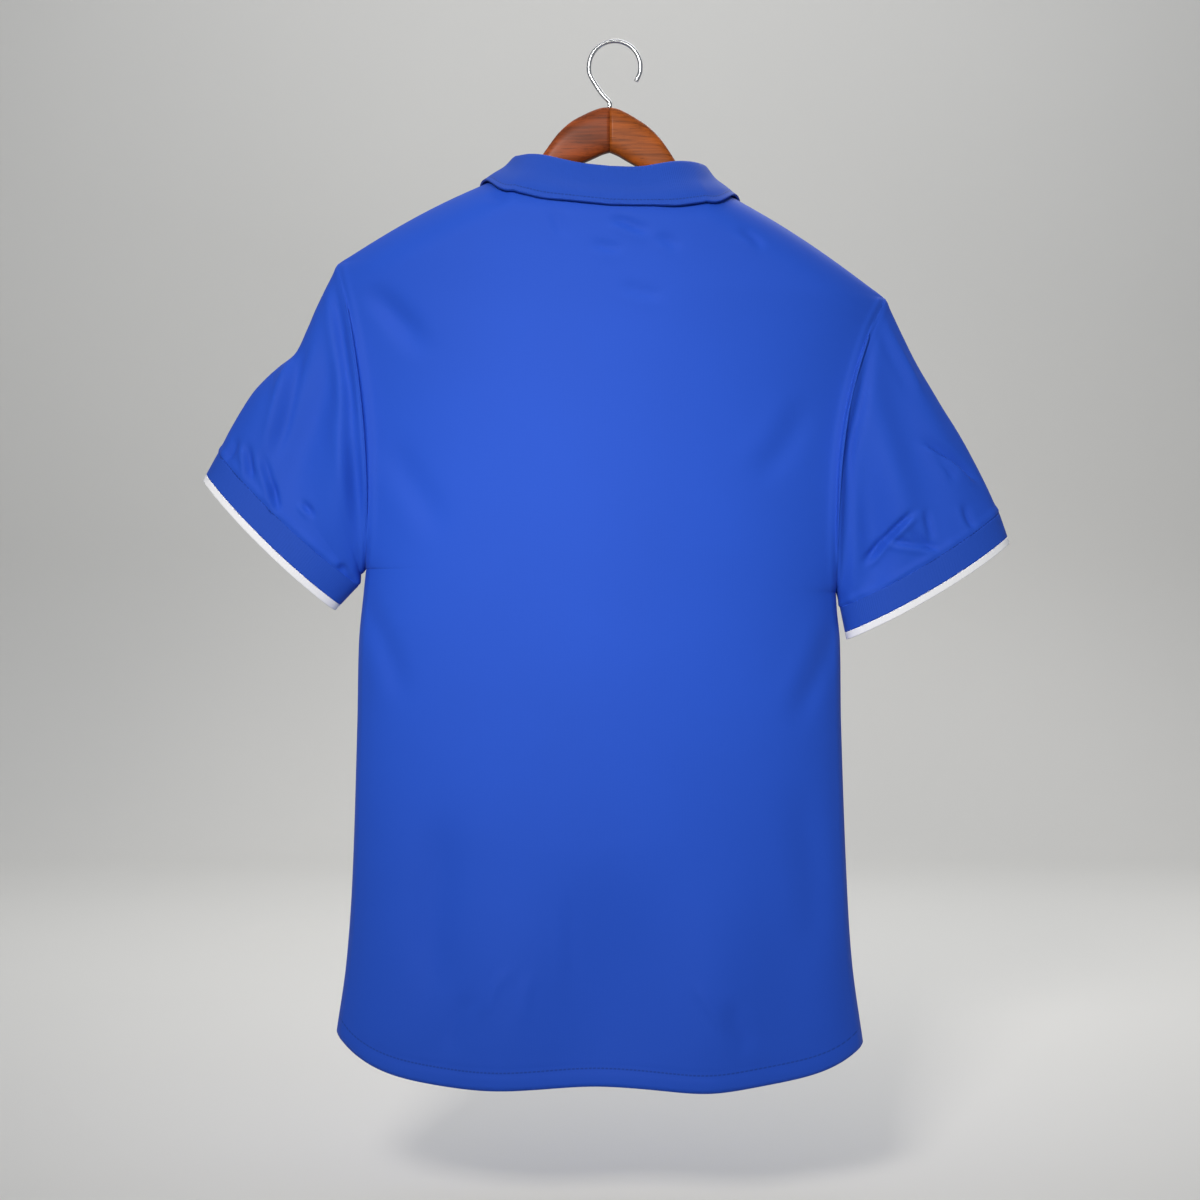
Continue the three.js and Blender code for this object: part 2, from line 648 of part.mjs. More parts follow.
function makeHook() {
  const centreline = HOOK_RADIUS + WIRE_RADIUS;
  const middle = vec(0, 0, -HOOK_RADIUS);
  const points = [];
  for (let degrees = -35; degrees <= 200; degrees += 23.5) {
    const turn = THREE.MathUtils.degToRad(degrees);
    points.push(vec(middle.x + centreline * Math.cos(turn), 0, middle.z + centreline * Math.sin(turn)));
  }
  points.push(vec(-11, 0, -40));
  points.push(vec(STEM_LEAN_X - 0.6, 0, -47));
  points.push(vec(STEM_LEAN_X, 0, -53));
  points.push(vec(STEM_LEAN_X, 0, ARM_SECTIONS[0].dome + SEAM_GAP + 0.2));
  const curve = new THREE.CatmullRomCurve3(points, false, "centripetal");
  const steps = 40;
  const rings = [];
  for (let i = 0; i <= steps; i += 1) {
    const centre = curve.getPointAt(i / steps);
    const way = curve.getTangentAt(i / steps);
    const side = vec(0, 1, 0).cross(way).normalize();
    const ring = [];
    for (let j = 0; j < WIRE_SIDES; j += 1) {
      const turn = (2 * Math.PI * j) / WIRE_SIDES;
      const point = moved(centre, side, WIRE_RADIUS * Math.cos(turn));
      point.y += WIRE_RADIUS * Math.sin(turn);
      ring.push(point);
    }
    rings.push(ring);
  }
  return loft(rings);
}

// Closed meshes from grids of points

// A geometry from points and triangles, turned so that its faces point out.
function solid(points, triangles) {
  let volume = 0;
  for (const [a, b, c] of triangles) {
    volume += points[a].dot(points[b].clone().cross(points[c]));
  }
  const index = triangles.flatMap(([a, b, c]) => (volume < 0 ? [a, c, b] : [a, b, c]));
  const geometry = new THREE.BufferGeometry();
  const flat = points.flatMap((point) => [point.x, point.y, point.z]);
  geometry.setAttribute("position", new THREE.Float32BufferAttribute(flat, 3));
  geometry.setIndex(index);
  geometry.computeVertexNormals();
  return geometry;
}

// A wall between two grids of the same size. A round grid closes on itself across its columns.
function shell(outer, inner, isRound) {
  const rows = outer.length;
  const columns = outer[0].length;
  const points = [...outer.flat(), ...inner.flat()];
  const triangles = [];
  const quad = (a, b, c, d) => triangles.push([a, b, c], [a, c, d]);
  const at = (layer, i, j) => layer * rows * columns + i * columns + (j % columns);
  const spans = isRound ? columns : columns - 1;
  for (let i = 0; i < rows - 1; i += 1) {
    for (let j = 0; j < spans; j += 1) {
      quad(at(0, i, j), at(0, i, j + 1), at(0, i + 1, j + 1), at(0, i + 1, j));
      quad(at(1, i, j), at(1, i + 1, j), at(1, i + 1, j + 1), at(1, i, j + 1));
    }
  }
  for (let j = 0; j < spans; j += 1) {
    quad(at(0, 0, j), at(1, 0, j), at(1, 0, j + 1), at(0, 0, j + 1));
    const last = rows - 1;
    quad(at(0, last, j), at(0, last, j + 1), at(1, last, j + 1), at(1, last, j));
  }
  if (!isRound) {
    for (let i = 0; i < rows - 1; i += 1) {
      quad(at(0, i, 0), at(0, i + 1, 0), at(1, i + 1, 0), at(1, i, 0));
      const end = columns - 1;
      quad(at(0, i, end), at(1, i, end), at(1, i + 1, end), at(0, i + 1, end));
    }
  }
  return solid(points, triangles);
}

// A filled body through rings, closed at both ends.
function loft(rings) {
  const columns = rings[0].length;
  const points = rings.flat();
  const triangles = [];
  for (let i = 0; i < rings.length - 1; i += 1) {
    for (let j = 0; j < columns; j += 1) {
      const a = i * columns + j;
      const b = i * columns + ((j + 1) % columns);
      triangles.push([a, b, b + columns], [a, b + columns, a + columns]);
    }
  }
  const lastStart = (rings.length - 1) * columns;
  for (let j = 1; j < columns - 1; j += 1) {
    triangles.push([0, j + 1, j], [lastStart, lastStart + j, lastStart + j + 1]);
  }
  return solid(points, triangles);
}

// The pieces

const group = new THREE.Group();

function add(name, geometry, color, roughness = 0.62, metalness = 0) {
  const material = new THREE.MeshStandardMaterial({ color, roughness, metalness });
  const mesh = new THREE.Mesh(geometry, material);
  mesh.name = name;
  group.add(mesh);
}

add("back", makePanel(BACK), ROYAL);
add("front", makePanel(FRONT), ROYAL);
add("collar", makeCollar(), ROYAL_DARK);
for (const side of [LEFT, RIGHT]) {
  add(`sleeve_${side.name}`, makeSleeve(side), ROYAL);
  add(`cuff_${side.name}`, makeCuffPiece(side, 0, BLUE_CUFF_SHARE, 2), ROYAL_DARK, 0.7);
  add(`cuff_edge_${side.name}`, makeCuffPiece(side, BLUE_CUFF_SHARE, 1, 1), WHITE, 0.7);
}
add("hanger_arm_left", makeArm(LEFT), WALNUT_LEFT, 0.35);
add("hanger_arm_right", makeArm(RIGHT), WALNUT_RIGHT, 0.35);
add("hanger_hook", makeHook(), STEEL, 0.25, 1);

export default group;
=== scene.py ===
"""A football jersey with a turned-down collar, hung on a two-piece wooden hanger."""

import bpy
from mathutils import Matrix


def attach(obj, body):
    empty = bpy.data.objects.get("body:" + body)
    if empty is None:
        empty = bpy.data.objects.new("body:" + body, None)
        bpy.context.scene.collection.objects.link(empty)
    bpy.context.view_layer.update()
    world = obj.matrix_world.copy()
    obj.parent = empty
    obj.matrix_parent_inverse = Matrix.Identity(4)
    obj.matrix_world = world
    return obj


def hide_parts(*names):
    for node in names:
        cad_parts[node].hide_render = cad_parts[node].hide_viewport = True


bl_info = {
    "name": "Hung Football Jersey",
    "version": (1, 0, 0),
    "blender": (4, 5, 0),
    "location": "View3D > Sidebar > Jersey",
    "description": "Cuts, folds and finishes a football jersey on its hanger",
    "category": "Object",
}

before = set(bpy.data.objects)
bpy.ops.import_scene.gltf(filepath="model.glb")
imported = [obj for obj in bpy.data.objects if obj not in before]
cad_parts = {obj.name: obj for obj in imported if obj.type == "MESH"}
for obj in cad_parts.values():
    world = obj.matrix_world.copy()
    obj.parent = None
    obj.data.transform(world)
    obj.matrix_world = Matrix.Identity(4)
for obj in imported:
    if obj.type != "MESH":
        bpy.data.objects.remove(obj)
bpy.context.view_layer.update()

import math

import bmesh
import bpy
from mathutils import Vector

MM = 0.001

# The body's form, in millimetres: how deep each panel bulges, and how it turns at its edges
BACK_DEPTH = 60
FRONT_DEPTH = 62
HEM_EXTRA_DEPTH = 6
ARMHOLE_HALF_DEPTH = 34
ARMHOLE_FADE_POWER = 4
SHOULDER_WRAP = 42
PANEL_ROUNDNESS = 0.9
HEM_CENTRE_Z = -829
HEM_CORNER_POWER = 6
NECK_X = -3.8
NECK_HALF_WIDTH = 75.6
SHOULDER_CROWN = 5
NECK_POINT_SHARE = 0.4

# A panel's neck: its height at the middle, and the two powers of its curve.
BACK_NECK = (-130, 2, 0.62)
FRONT_NECK = (-228, 1.1, 0.95)

# Each side's edges: the panel edge's x at heights from the shoulder point down to the hem.
LEFT = {
    "name": "left",
    "sign": -1,
    "neck_z": -105,
    "shoulder_z": -178,
    "armpit_z": -424,
    "hem_z": -795,
    "edge": {
        "z": (-178, -225, -289, -346, -398, -440, -481, -550, -675, -743, -795),
        "x": (-223, -211, -201, -197, -198, -202, -206, -207.5, -211.5, -216.5, -224),
    },
    "cuff_seam": ((-320, -332), (-208, -438)),
    "cuff_hem": ((-331.5, -353), (-226, -457)),
    "cuff_half_depth": 27,
    "cuff_bow": 3,
    "crown": (0, -4.2, -7.5, -10.2, -4.6, 0, 3.1, 2.6, 0),
}
RIGHT = {
    "name": "right",
    "sign": 1,
    "neck_z": -113.7,
    "shoulder_z": -206,
    "armpit_z": -442,
    "hem_z": -804,
    "edge": {
        "z": (-206, -233, -283, -330, -378, -414, -456, -482, -550, -675, -743, -804),
        "x": (218, 204, 188, 180, 177, 177, 179, 181.5, 182.5, 187, 191.5, 200),
    },
    "cuff_seam": ((310, -380.5), (182.5, -456)),
    "cuff_hem": ((318, -403.5), (187.5, -480.5)),
    "cuff_half_depth": 27,
    "cuff_bow": 4,
    "crown": (0, -2, -2.3, -1, 0, 1.5, 2.4, 2, 0),
}
SIDES = (LEFT, RIGHT)
BLUE_CUFF_SHARE = 0.76
CUFF_OVERLAP_SHARE = 0.06

# A sleeve is lifted mostly to its back and front. A point inside it shows which way is out.
SLEEVE_FLATNESS = 3
SLEEVE_INSIDE = (220, 0, -330)
SLEEVE_STITCH = 1.4

# The sides' crown rows bow a sleeve's outer line at these shares of its length, out and up, and
# its underside a little the other way.
CROWN_SHARES = (0, 0.2, 0.3, 0.42, 0.51, 0.6, 0.7, 0.88, 1)
CROWN_OUT = 0.6
CROWN_UP = 0.8
CROWN_UNDERSIDE = -0.2

# Large folds: how softly they begin and end, and how soon they are full away from a side edge
FOLD_END_POWER = 1.6
FOLD_SIDE_GAIN = 1.8

# Large soft folds: middle x at the top and bottom, top and bottom height, half-width, rise.
BACK_FOLDS = (
    (-192, -150, -196, -262, 15, -3.5),
    (-2, -14, -640, -900, 52, -9),
    (-78, -92, -660, -920, 34, 4),
    (72, 78, -650, -920, 32, 5),
    (-140, -152, -560, -880, 26, -3),
    (128, 140, -580, -890, 26, -3),
)
FRONT_FOLDS = (
    (-118, -138, -330, -960, 24, -11),
    (-72, -88, -300, -960, 22, 9),
    (-34, -42, -330, -960, 21, -10),
    (6, 4, -300, -960, 22, 8),
    (42, 52, -340, -960, 22, -11),
    (88, 100, -300, -960, 24, 9),
)
# Turn at the armhole and the cuff, start and end share, half-width in degrees, rise.
SLEEVE_FOLDS = {
    "left": (
        (52, 88, 0.0, 0.95, 17, -7),
        (86, 128, 0.0, 0.8, 15, 4),
        (24, 44, 0.15, 1.0, 14, 3),
        (300, 272, 0.0, 1.0, 18, -7),
        (258, 232, 0.1, 0.9, 15, 4),
    ),
    "right": (
        (40, 70, 0.0, 0.98, 15, -3),
        (58, 96, 0.1, 0.9, 11, 3),
        (88, 128, 0.0, 0.98, 19, -9),
        (22, 50, 0.1, 0.9, 13, 3),
        (304, 268, 0.0, 1.0, 18, -7),
        (262, 228, 0.1, 0.9, 15, 4),
    ),
}

# Waves of the hem: middle, half-width and rise.
BACK_HEM_WAVES = ((-96, 40, -1.6), (-8, 34, 1.4), (84, 40, -3.4))
FRONT_HEM_WAVES = ((-60, 44, -2), (40, 44, -2))

# Every small crease: how far its rise is strengthened, how far it runs past its ends, how long it
# stays full, and how soon it is full away from a side edge and below the shoulder, in millimetres.
CREASE_RELIEF = 1.6
CREASE_OVERRUN = 0.35
CREASE_FULL_SHARE = 1.05
CREASE_SIDE_GAIN = 3
CREASE_SHOULDER_DROP = 12

# Shares of a crease's half-width: how much it sways, where its lip lies, and how far it is felt
CREASE_SWAY = 0.12
CREASE_SWAY_TURN = 5
CREASE_LIP_PLACE = 1.8
CREASE_REACH = 4

# Small creases: from x, z to x, z, half-width, rise, and the rise of the lip.
BACK_CREASES = (
    (-190, -205, -154, -244, 8, -0.9, 0.3),
    (-48, -146, -41, -164, 4, -0.8, 0.3),
    (0, -152, 24, -161, 3.6, -1.6, 0.7),
    (36, -165, 48, -174, 3.4, -1.3, 0.4),
    (-16, -171, 3, -176, 3.4, -1.1, 0.3),
    (8, -205, 34, -212, 4, -0.9, 0.3),
    (-99, -131, -88, -137, 3.4, -1.5, 0.5),
    (100, -160, 114, -171, 3.4, -1.6, 0.6),
    (-85, -738, -105, -770, 4, 0.9, -0.3),
    (-66, -742, -74, -776, 5, 0.7, -0.2),
    (64, -752, 86, -782, 4, 0.9, -0.3),
    (-116, -760, -131, -798, 8, -1.2, 0.4),
    (91, -766, 102, -798, 8, -1.4, 0.4),
    (-34, -684, -33, -744, 6, -0.5, 0.2),
    (-137, -636, -142, -748, 16, -2.2, 0.4),
    (150, -300, 118, -352, 11, -1.3, 0.4),
    (-172, -330, -140, -392, 12, -1.3, 0.4),
    (-196, -452, -168, -520, 10, -1.6, 0.5),
    (176, -470, 148, -540, 10, -1.6, 0.5),
    (150, -610, 162, -720, 15, -2.0, 0.4),
)
FRONT_CREASES = (
    (-60, -262, -96, -424, 14, -3.0, 0.8),
    (50, -266, 80, -414, 14, -3.2, 0.8),
    (-190, -226, -132, -330, 12, -4.0, 1.2),
    (182, -252, 124, -340, 12, -4.0, 1.2),
    (-8, -262, -14, -356, 9, -1.6, 0.5),
    (-170, -470, -120, -540, 13, -2.2, 0.6),
    (152, -486, 110, -560, 13, -2.2, 0.6),
    (-100, -752, -116, -806, 9, -2.2, 0.6),
    (74, -744, 86, -808, 9, -2.2, 0.6),
)
SLEEVE_CREASES = {
    ("left", -1): (
        (-222, -200, -208, -300, 5, -2.4, 1.4),
        (-210, -290, -203, -396, 6, -3.0, 1.0),
        (-247, -246, -270, -328, 5, -2.4, 1.9),
        (-292, -328, -290, -350, 2.8, -2.4, 1.2),
        (-279, -336, -271, -368, 3.0, -1.8, 0.9),
        (-272, -356, -268, -378, 2.6, -1.6, 0.7),
        (-247, -372, -240, -381, 2.6, -1.5, 0.7),
        (-220, -422, -209, -434, 3.4, -2.0, 0.8),
        (-302, -322, -310, -338, 3.4, -1.5, 0.6),
    ),
    ("left", 1): (
        (-226, -226, -214, -352, 8, -3.0, 0.9),
        (-250, -262, -272, -352, 6, -2.6, 1.2),
        (-298, -336, -290, -352, 3, -1.8, 0.7),
        (-250, -376, -246, -398, 3, -1.8, 0.7),
    ),
    ("right", -1): (
        (206, -222, 186, -330, 6, -2.8, 1.2),
        (186, -310, 182, -440, 6, -3.2, 1.0),
        (217, -227, 242, -282, 4, 1.8, -0.7),
        (250, -322, 288, -350, 3.4, -3.2, 1.6),
        (256, -332, 270, -352, 3.0, -1.4, 0.6),
        (212, -403, 234, -381, 2.8, -2.2, 1.2),
        (198, -420, 212, -404, 3.0, -2.0, 1.0),
        (218, -401, 250, -407, 2.6, -1.8, 0.9),
        (235, -396, 255, -408, 2.6, -1.6, 0.7),
        (247, -379, 252, -400, 2.8, -1.4, 0.6),
        (278, -374, 286, -392, 3.0, -1.4, 0.6),
    ),
    ("right", 1): (
        (210, -232, 196, -350, 8, -3.0, 0.9),
        (236, -300, 262, -372, 6, -2.4, 1.1),
        (204, -420, 226, -398, 4, -2.0, 0.8),
        (270, -372, 280, -396, 3, -1.6, 0.6),
    ),
}

# The collar's path at shares from the centre back (0) over the neck point (0.4) to the V (1).
COLLAR = {
    "share": (0.0, 0.1, 0.2, 0.3, 0.4, 0.5, 0.62, 0.8, 1.0),
    "roll_x": (0, 26, 51, 68, 74, 69, 57, 32, 3),
    "roll_y": (-40, -38, -31, -18, 3, 34, 60, 72, 70),
    "roll_z": (-4, -2, 5, 8, 10, -1, -24, -70, -114),
    "edge_x": (0, 31, 60, 87, 104, 108, 102, 82, 54),
    "edge_turn": (-77, -75, -72, -56, 1, 62, 90, 90, 90),
    "edge_drop": (0, 0, 0, 0, 0, 0, 4, 58, 112),
    "clear": (3, 3.2, 3.6, 3.6, 3, 4, 4, 4, 4),
    "bow": (2, 2, 3, 2, 1, 3, 4, 4, 4),
}
COLLAR_END_SHARE = 0.985
COLLAR_ROLL_RADIUS = 2.4
COLLAR_FOOT = 1

# The wooden arms, from the centre joint out.
ARM = {
    "along": (0, 6, 12.5, 20, 31, 41, 48, 55, 62, 72, 84, 105, 135, 165, 188, 200, 205),
    "dome": (-52, -52.6, -55, -58.8, -65.5, -75, -84.5, -95, -105, -115.5, -115) + (-90,) * 6,
    "tall": (36, 37.5, 38.5, 38.5, 37, 33, 30, 27, 25, 24, 24, 24, 23, 21, 16, 11, 7),
    "half": (8, 8, 8, 8, 8, 8, 8, 8, 8, 8, 9, 9.5, 10.5, 11, 9.5, 7, 4.5),
}
ARM_CLEARANCE = 3.7
HANGER_X = -4
HANGER_TILT = 3.6
JOINT_GAP = 0.04
ARM_ROUND = 90

# Powers that square the arm's section, and space its rings along it
ARM_SQUARENESS = 0.62
ARM_SPREAD = 1.15

# The hook: its bend starts at a turn and has points at even steps, both in degrees.
WIRE_RADIUS = 1.8
HOOK_RADIUS = 19
HOOK_START = -35
HOOK_STEP = 23.5
HOOK_POINTS = 11
STEM_X = -4
TIP_SHARE = 0.012
WIRE_LENGTH = 170

# Beside a seam the cloth puffs up: rise, distance and half-width, and what the cuff's seam adds
PUFF = (0.7, 4.5, 2.8)
PUFF_START = 3
CUFF_PUFF_GAIN = 1.3

# Stitches pull the cloth in, and its edges roll: depth and half-width, or depth and reach
STITCH_GROOVE = (0.7, 1.7)
EDGE_ROLL = (0.5, 2.2)

# The hem's second layer, which fades out at the side seams
HEM_FOLD_RISE = 0.55
HEM_SIDE_FADE = 6

# Small gathers where a sleeve meets its cuff, and the waves of the ribbed edges
PUCKER_RISE = 0.45
PUCKER_REACH = 9
PUCKER_START = 3
CUFF_WAVE = 0.6
CUFF_CLEARANCE = 0.25
COLLAR_RIPPLE = 0.5

# How long and wide each piece's cloth is drawn, which spaces its knit. A panel's width also
# grows by a share of its depth.
KNIT_TURN_SHARE = 0.4
SLEEVE_ROUND = 400
SLEEVE_LENGTH = 150
CUFF_ROUND = 336
CUFF_LENGTH = 24
COLLAR_HALF_LENGTH = 330
COLLAR_LENGTH = 88

# Points of a round piece that lie closer than this are merged
MERGE_DISTANCE = 0.02

# Columns and rows of each piece's mesh
PANEL_GRID = (176, 240)
SLEEVE_GRID = (190, 96)
CUFF_COLUMNS = 260
RIB_ROWS = 14
TIPPING_ROWS = 5
COLLAR_GRID = (240, 46)
ARM_GRID = (56, 90)
HOOK_GRID = (20, 260)
BACKDROP_GRID = (8, 220)

# Curves and tables


def lerp(a, b, t):
    return a + (b - a) * t


def clamp(value, low=0.0, high=1.0):
    return max(low, min(high, value))


def smooth(t):
    t = clamp(t)
    return t * t * (3 - 2 * t)


def bell(distance, width):
    """1 at no distance, falling off softly to both sides."""
    return math.exp(-((distance / width) ** 2))


def between(keys, values, at):
    """A smooth value between the entries of a table, by its keys."""
    order = 1 if keys[-1] > keys[0] else -1
    last = len(keys) - 1
    if (at - keys[0]) * order <= 0:
        return values[0]
    if (at - keys[last]) * order >= 0:
        return values[last]
    i = 0
    while (at - keys[i + 1]) * order > 0:
        i += 1
    span = keys[i + 1] - keys[i]
    t = (at - keys[i]) / span
    before, after = max(i - 1, 0), min(i + 2, last)
    start = (values[i + 1] - values[before]) / (keys[i + 1] - keys[before])
    end = (values[after] - values[i]) / (keys[after] - keys[i])
    t2, t3 = t * t, t * t * t
    ease = (2 * t3 - 3 * t2 + 1) * values[i] + (3 * t2 - 2 * t3) * values[i + 1]
    return ease + (t3 - 2 * t2 + t) * span * start + (t3 - t2) * span * end


def through(points, t):
    """A point at t (0 to 1) of a smooth curve through points."""
    place = clamp(t) * (len(points) - 1)
    i = min(int(place), len(points) - 2)
    t = place - i
    a, b = points[max(i - 1, 0)], points[i]
    c, d = points[i + 1], points[min(i + 2, len(points) - 1)]
    bend = (c - a) * t + (2 * a - 5 * b + 4 * c - d) * t * t + (3 * b - a - 3 * c + d) * t**3
    return b + bend * 0.5


# The jersey's form


def edge_x(side, z):
    """Where a panel's side edge is at a height."""
    return between(side["edge"]["z"], side["edge"]["x"], z)


def armhole_depth(side, z):
    """Half the armhole's depth at a height: nothing at the shoulder point and the armpit."""
    share = clamp((side["shoulder_z"] - z) / (side["shoulder_z"] - side["armpit_z"]))
    return ARMHOLE_HALF_DEPTH * math.sin(math.acos(1 - 2 * share))


def shoulder_line(x):
    """The shoulder line's height, carried straight across the neck opening."""
    off = (x - NECK_X) / NECK_HALF_WIDTH
    if abs(off) < 1:
        return lerp(LEFT["neck_z"], RIGHT["neck_z"], (1 + off) / 2)
    side = LEFT if off < 0 else RIGHT
    neck_x = NECK_X + side["sign"] * NECK_HALF_WIDTH
    share = clamp((x - neck_x) / (side["edge"]["x"][0] - neck_x))
    crown = SHOULDER_CROWN * math.sin(math.pi * share)
    return lerp(side["neck_z"], side["shoulder_z"], share) + crown


def top_edge(x, neck):
    """A panel's top edge: its shoulder seams, and the neck seam between them."""
    off = abs((x - NECK_X) / NECK_HALF_WIDTH)
    if off >= 1:
        return shoulder_line(x)
    neck_z, power, squareness = neck
    return lerp(neck_z, shoulder_line(x), 1 - (1 - off**power) ** squareness)


def wrap_share(drop):
    """How far the cloth has turned over the shoulder, by the drop below its line."""
    share = clamp(drop / SHOULDER_WRAP)
    return math.sqrt(1 - (1 - share) ** 2)


def fold_lift(folds, x, z):
    """How far the large folds lift the cloth."""
    lift = 0
    for top_x, bottom_x, top, bottom, width, rise in folds:
        share = (top - z) / (top - bottom)
        if 0 < share < 1:
            across = x - lerp(top_x, bottom_x, share)
            lift += rise * math.sin(math.pi * share) ** FOLD_END_POWER * bell(across, width)
    return lift


def crease_lift(creases, x, z):
    """How far the small creases lift the cloth. Each runs out softly at both ends."""
    lift = 0
    for x0, z0, x1, z1, width, rise, lip in creases:
        run_x, run_z = x1 - x0, z1 - z0
        length = math.hypot(run_x, run_z)
        along = ((x - x0) * run_x + (z - z0) * run_z) / (length * length)
        if -CREASE_OVERRUN < along < 1 + CREASE_OVERRUN:
            sway = CREASE_SWAY * width * math.sin(CREASE_SWAY_TURN * along + x0)
            off = ((x - x0) * run_z - (z - z0) * run_x) / length + sway
            if abs(off) < CREASE_REACH * width:
                taper = math.exp(-((2 * along - 1) / CREASE_FULL_SHARE) ** 4)
                lift += rise * taper * bell(off, width)
                lift += lip * taper * bell(off - CREASE_LIP_PLACE * width, width)
    return lift * CREASE_RELIEF


def seam_puff(distance):
    """The cloth stands up a little on each side of a seam."""
    rise, middle, width = PUFF
    return rise * bell(distance - middle, width)


class Panel:
    """The back or the front of the jersey."""

    def __init__(self, sign, neck, depth, folds, creases, hem_waves):
        self.sign = sign
        self.neck = neck
        self.depth = depth
        self.folds = folds
        self.creases = creases
        self.hem_waves = hem_waves

    def row_height(self, side, row):
        """A row's height at one side: to the armpit at row 1, and to the hem at row 2."""
        if row <= 1:
            return lerp(side["shoulder_z"], side["armpit_z"], (1 - math.cos(math.pi * row)) / 2)
        return lerp(side["armpit_z"], side["hem_z"], row - 1)

    def depth_at(self, x, z, bulge, low):
        """The depth at a place. Bulge is 0 at the side edges, and low is 1 at the hem."""
        drop = shoulder_line(x) - z
        full = self.depth + HEM_EXTRA_DEPTH * low * low
        full *= wrap_share(drop) * bulge**PANEL_ROUNDNESS
        edge = armhole_depth(LEFT if x < 0 else RIGHT, z) * (1 - bulge) ** ARMHOLE_FADE_POWER
        mask = min(1, FOLD_SIDE_GAIN * bulge * smooth(drop / SHOULDER_WRAP))
        return full + edge + fold_lift(self.folds, x, z) * mask

    def place(self, across, row):
        """The outer point at across (-1 to 1) and row (0 top, 1 armpit, 2 hem)."""
        swing = math.sin(math.pi / 2 * across)
        bulge = max(0, math.cos(math.pi / 2 * across))
        share = (1 + swing) / 2
        top_x = lerp(LEFT["edge"]["x"][0], RIGHT["edge"]["x"][0], share)

        def height(at):
            return lerp(self.row_height(LEFT, at), self.row_height(RIGHT, at), share)

        rise = (top_edge(top_x, self.neck) - height(0)) * (1 - smooth(row))
        low = clamp(row - 1)
        hem_drop = (HEM_CENTRE_Z - height(2)) * (1 - abs(swing) ** HEM_CORNER_POWER)
        for middle, width, lift in self.hem_waves:
            hem_drop += lift * bell(top_x - middle, width)
        z = height(row) + rise + hem_drop * low * low
        x = lerp(edge_x(LEFT, z), edge_x(RIGHT, z), share)
        depth = self.depth_at(x, z, bulge, low)
        hem_distance = z - (height(2) + hem_drop)
        mask = smooth((shoulder_line(x) - z) / CREASE_SHOULDER_DROP)
        mask *= min(1, bulge * CREASE_SIDE_GAIN)
        depth += crease_lift(self.creases, x, z) * mask
        near = LEFT if x < 0 else RIGHT
        edge_distance = abs(x - edge_x(near, z))
        depth += seam_puff(edge_distance) * smooth(edge_distance / PUFF_START)
        depth += self.hem_band(hem_distance) * smooth(edge_distance / HEM_SIDE_FADE)
        return Vector((x, self.sign * depth, z)), hem_distance

    def hem_band(self, distance):
        """The turned-up hem is two layers, and the stitching pulls it in."""
        size = sizes()
        pull, groove_width = STITCH_GROOVE
        roll, roll_height = EDGE_ROLL
        lift = HEM_FOLD_RISE * smooth((size.hem_band + 1 - distance) / 2)
        lift -= pull * bell(distance - size.hem_band, groove_width)
        return lift - roll * smooth((roll_height - distance) / roll_height)


BACK = Panel(-1, BACK_NECK, BACK_DEPTH, BACK_FOLDS, BACK_CREASES, BACK_HEM_WAVES)
FRONT = Panel(1, FRONT_NECK, FRONT_DEPTH, FRONT_FOLDS, FRONT_CREASES, FRONT_HEM_WAVES)


def on_panel(panel, x, z, clear):
    """A point that lies clear of a panel above the armholes."""
    share = (x - edge_x(LEFT, z)) / (edge_x(RIGHT, z) - edge_x(LEFT, z))
    bulge = math.sqrt(max(0, 1 - (2 * share - 1) ** 2))
    depth = panel.depth_at(x, z, bulge, 0)
    top = 1 - clamp((shoulder_line(x) - z) / SHOULDER_WRAP)
    return Vector((x, panel.sign * (depth + clear * math.sqrt(1 - top * top)), z + clear * top))


def neck_seam(side, share):
    """The neck seam on one side, by share of the way from the centre back to the V."""
    on_back = share < NECK_POINT_SHARE
    way = share / NECK_POINT_SHARE if on_back else (1 - share) / (1 - NECK_POINT_SHARE)
    x = NECK_X + side["sign"] * NECK_HALF_WIDTH * math.sin(math.pi / 2 * way)
    panel = BACK if on_back else FRONT
    return on_panel(panel, x, top_edge(x, panel.neck), 0)


def collar_path(side, share):
    """Up the stand, over the roll, and down the fall to its edge."""

    def size(column):
        return between(COLLAR["share"], COLLAR[column], share)

    def level(off):
        return lerp(LEFT["neck_z"], RIGHT["neck_z"], (1 + off / NECK_HALF_WIDTH) / 2)

    seam = neck_seam(side, share)
    roll_off = side["sign"] * size("roll_x")
    roll = Vector((NECK_X + roll_off, size("roll_y"), level(roll_off) + size("roll_z")))
    turn = math.radians(abs(size("edge_turn")))
    drop = SHOULDER_WRAP * (1 - math.cos(turn)) + size("edge_drop")
    panel = BACK if size("edge_turn") < 0 else FRONT
    edge_at = NECK_X + side["sign"] * size("edge_x")
    edge = on_panel(panel, edge_at, shoulder_line(edge_at) - drop, size("clear"))
    stand = (roll - seam).normalized()
    fall = (edge - roll).normalized()
    over = (fall - stand * fall.dot(stand)).normalized()
    off = (stand - fall * stand.dot(fall)).normalized()
    radius = COLLAR_ROLL_RADIUS
    bow = size("bow")
    return (
        seam + stand * COLLAR_FOOT,
        seam.lerp(roll, 0.55) - over * 0.6,
        roll,
        roll + stand * radius * 0.9 + over * radius * 0.8,
        roll + stand * radius * 0.8 + over * radius * 2,
        roll.lerp(edge, 0.38) + off * bow,
        roll.lerp(edge, 0.7) + off * bow * 0.8,
        edge,
    )


def armhole_point(side, turn):
    """A point of the armhole, turning from the shoulder over the back to the armpit."""
    down = (1 - math.cos(turn)) / 2
    z = lerp(side["shoulder_z"], side["armpit_z"], down)
    facing = -1 if turn <= math.pi else 1
    return Vector((edge_x(side, z), facing * armhole_depth(side, z), z))


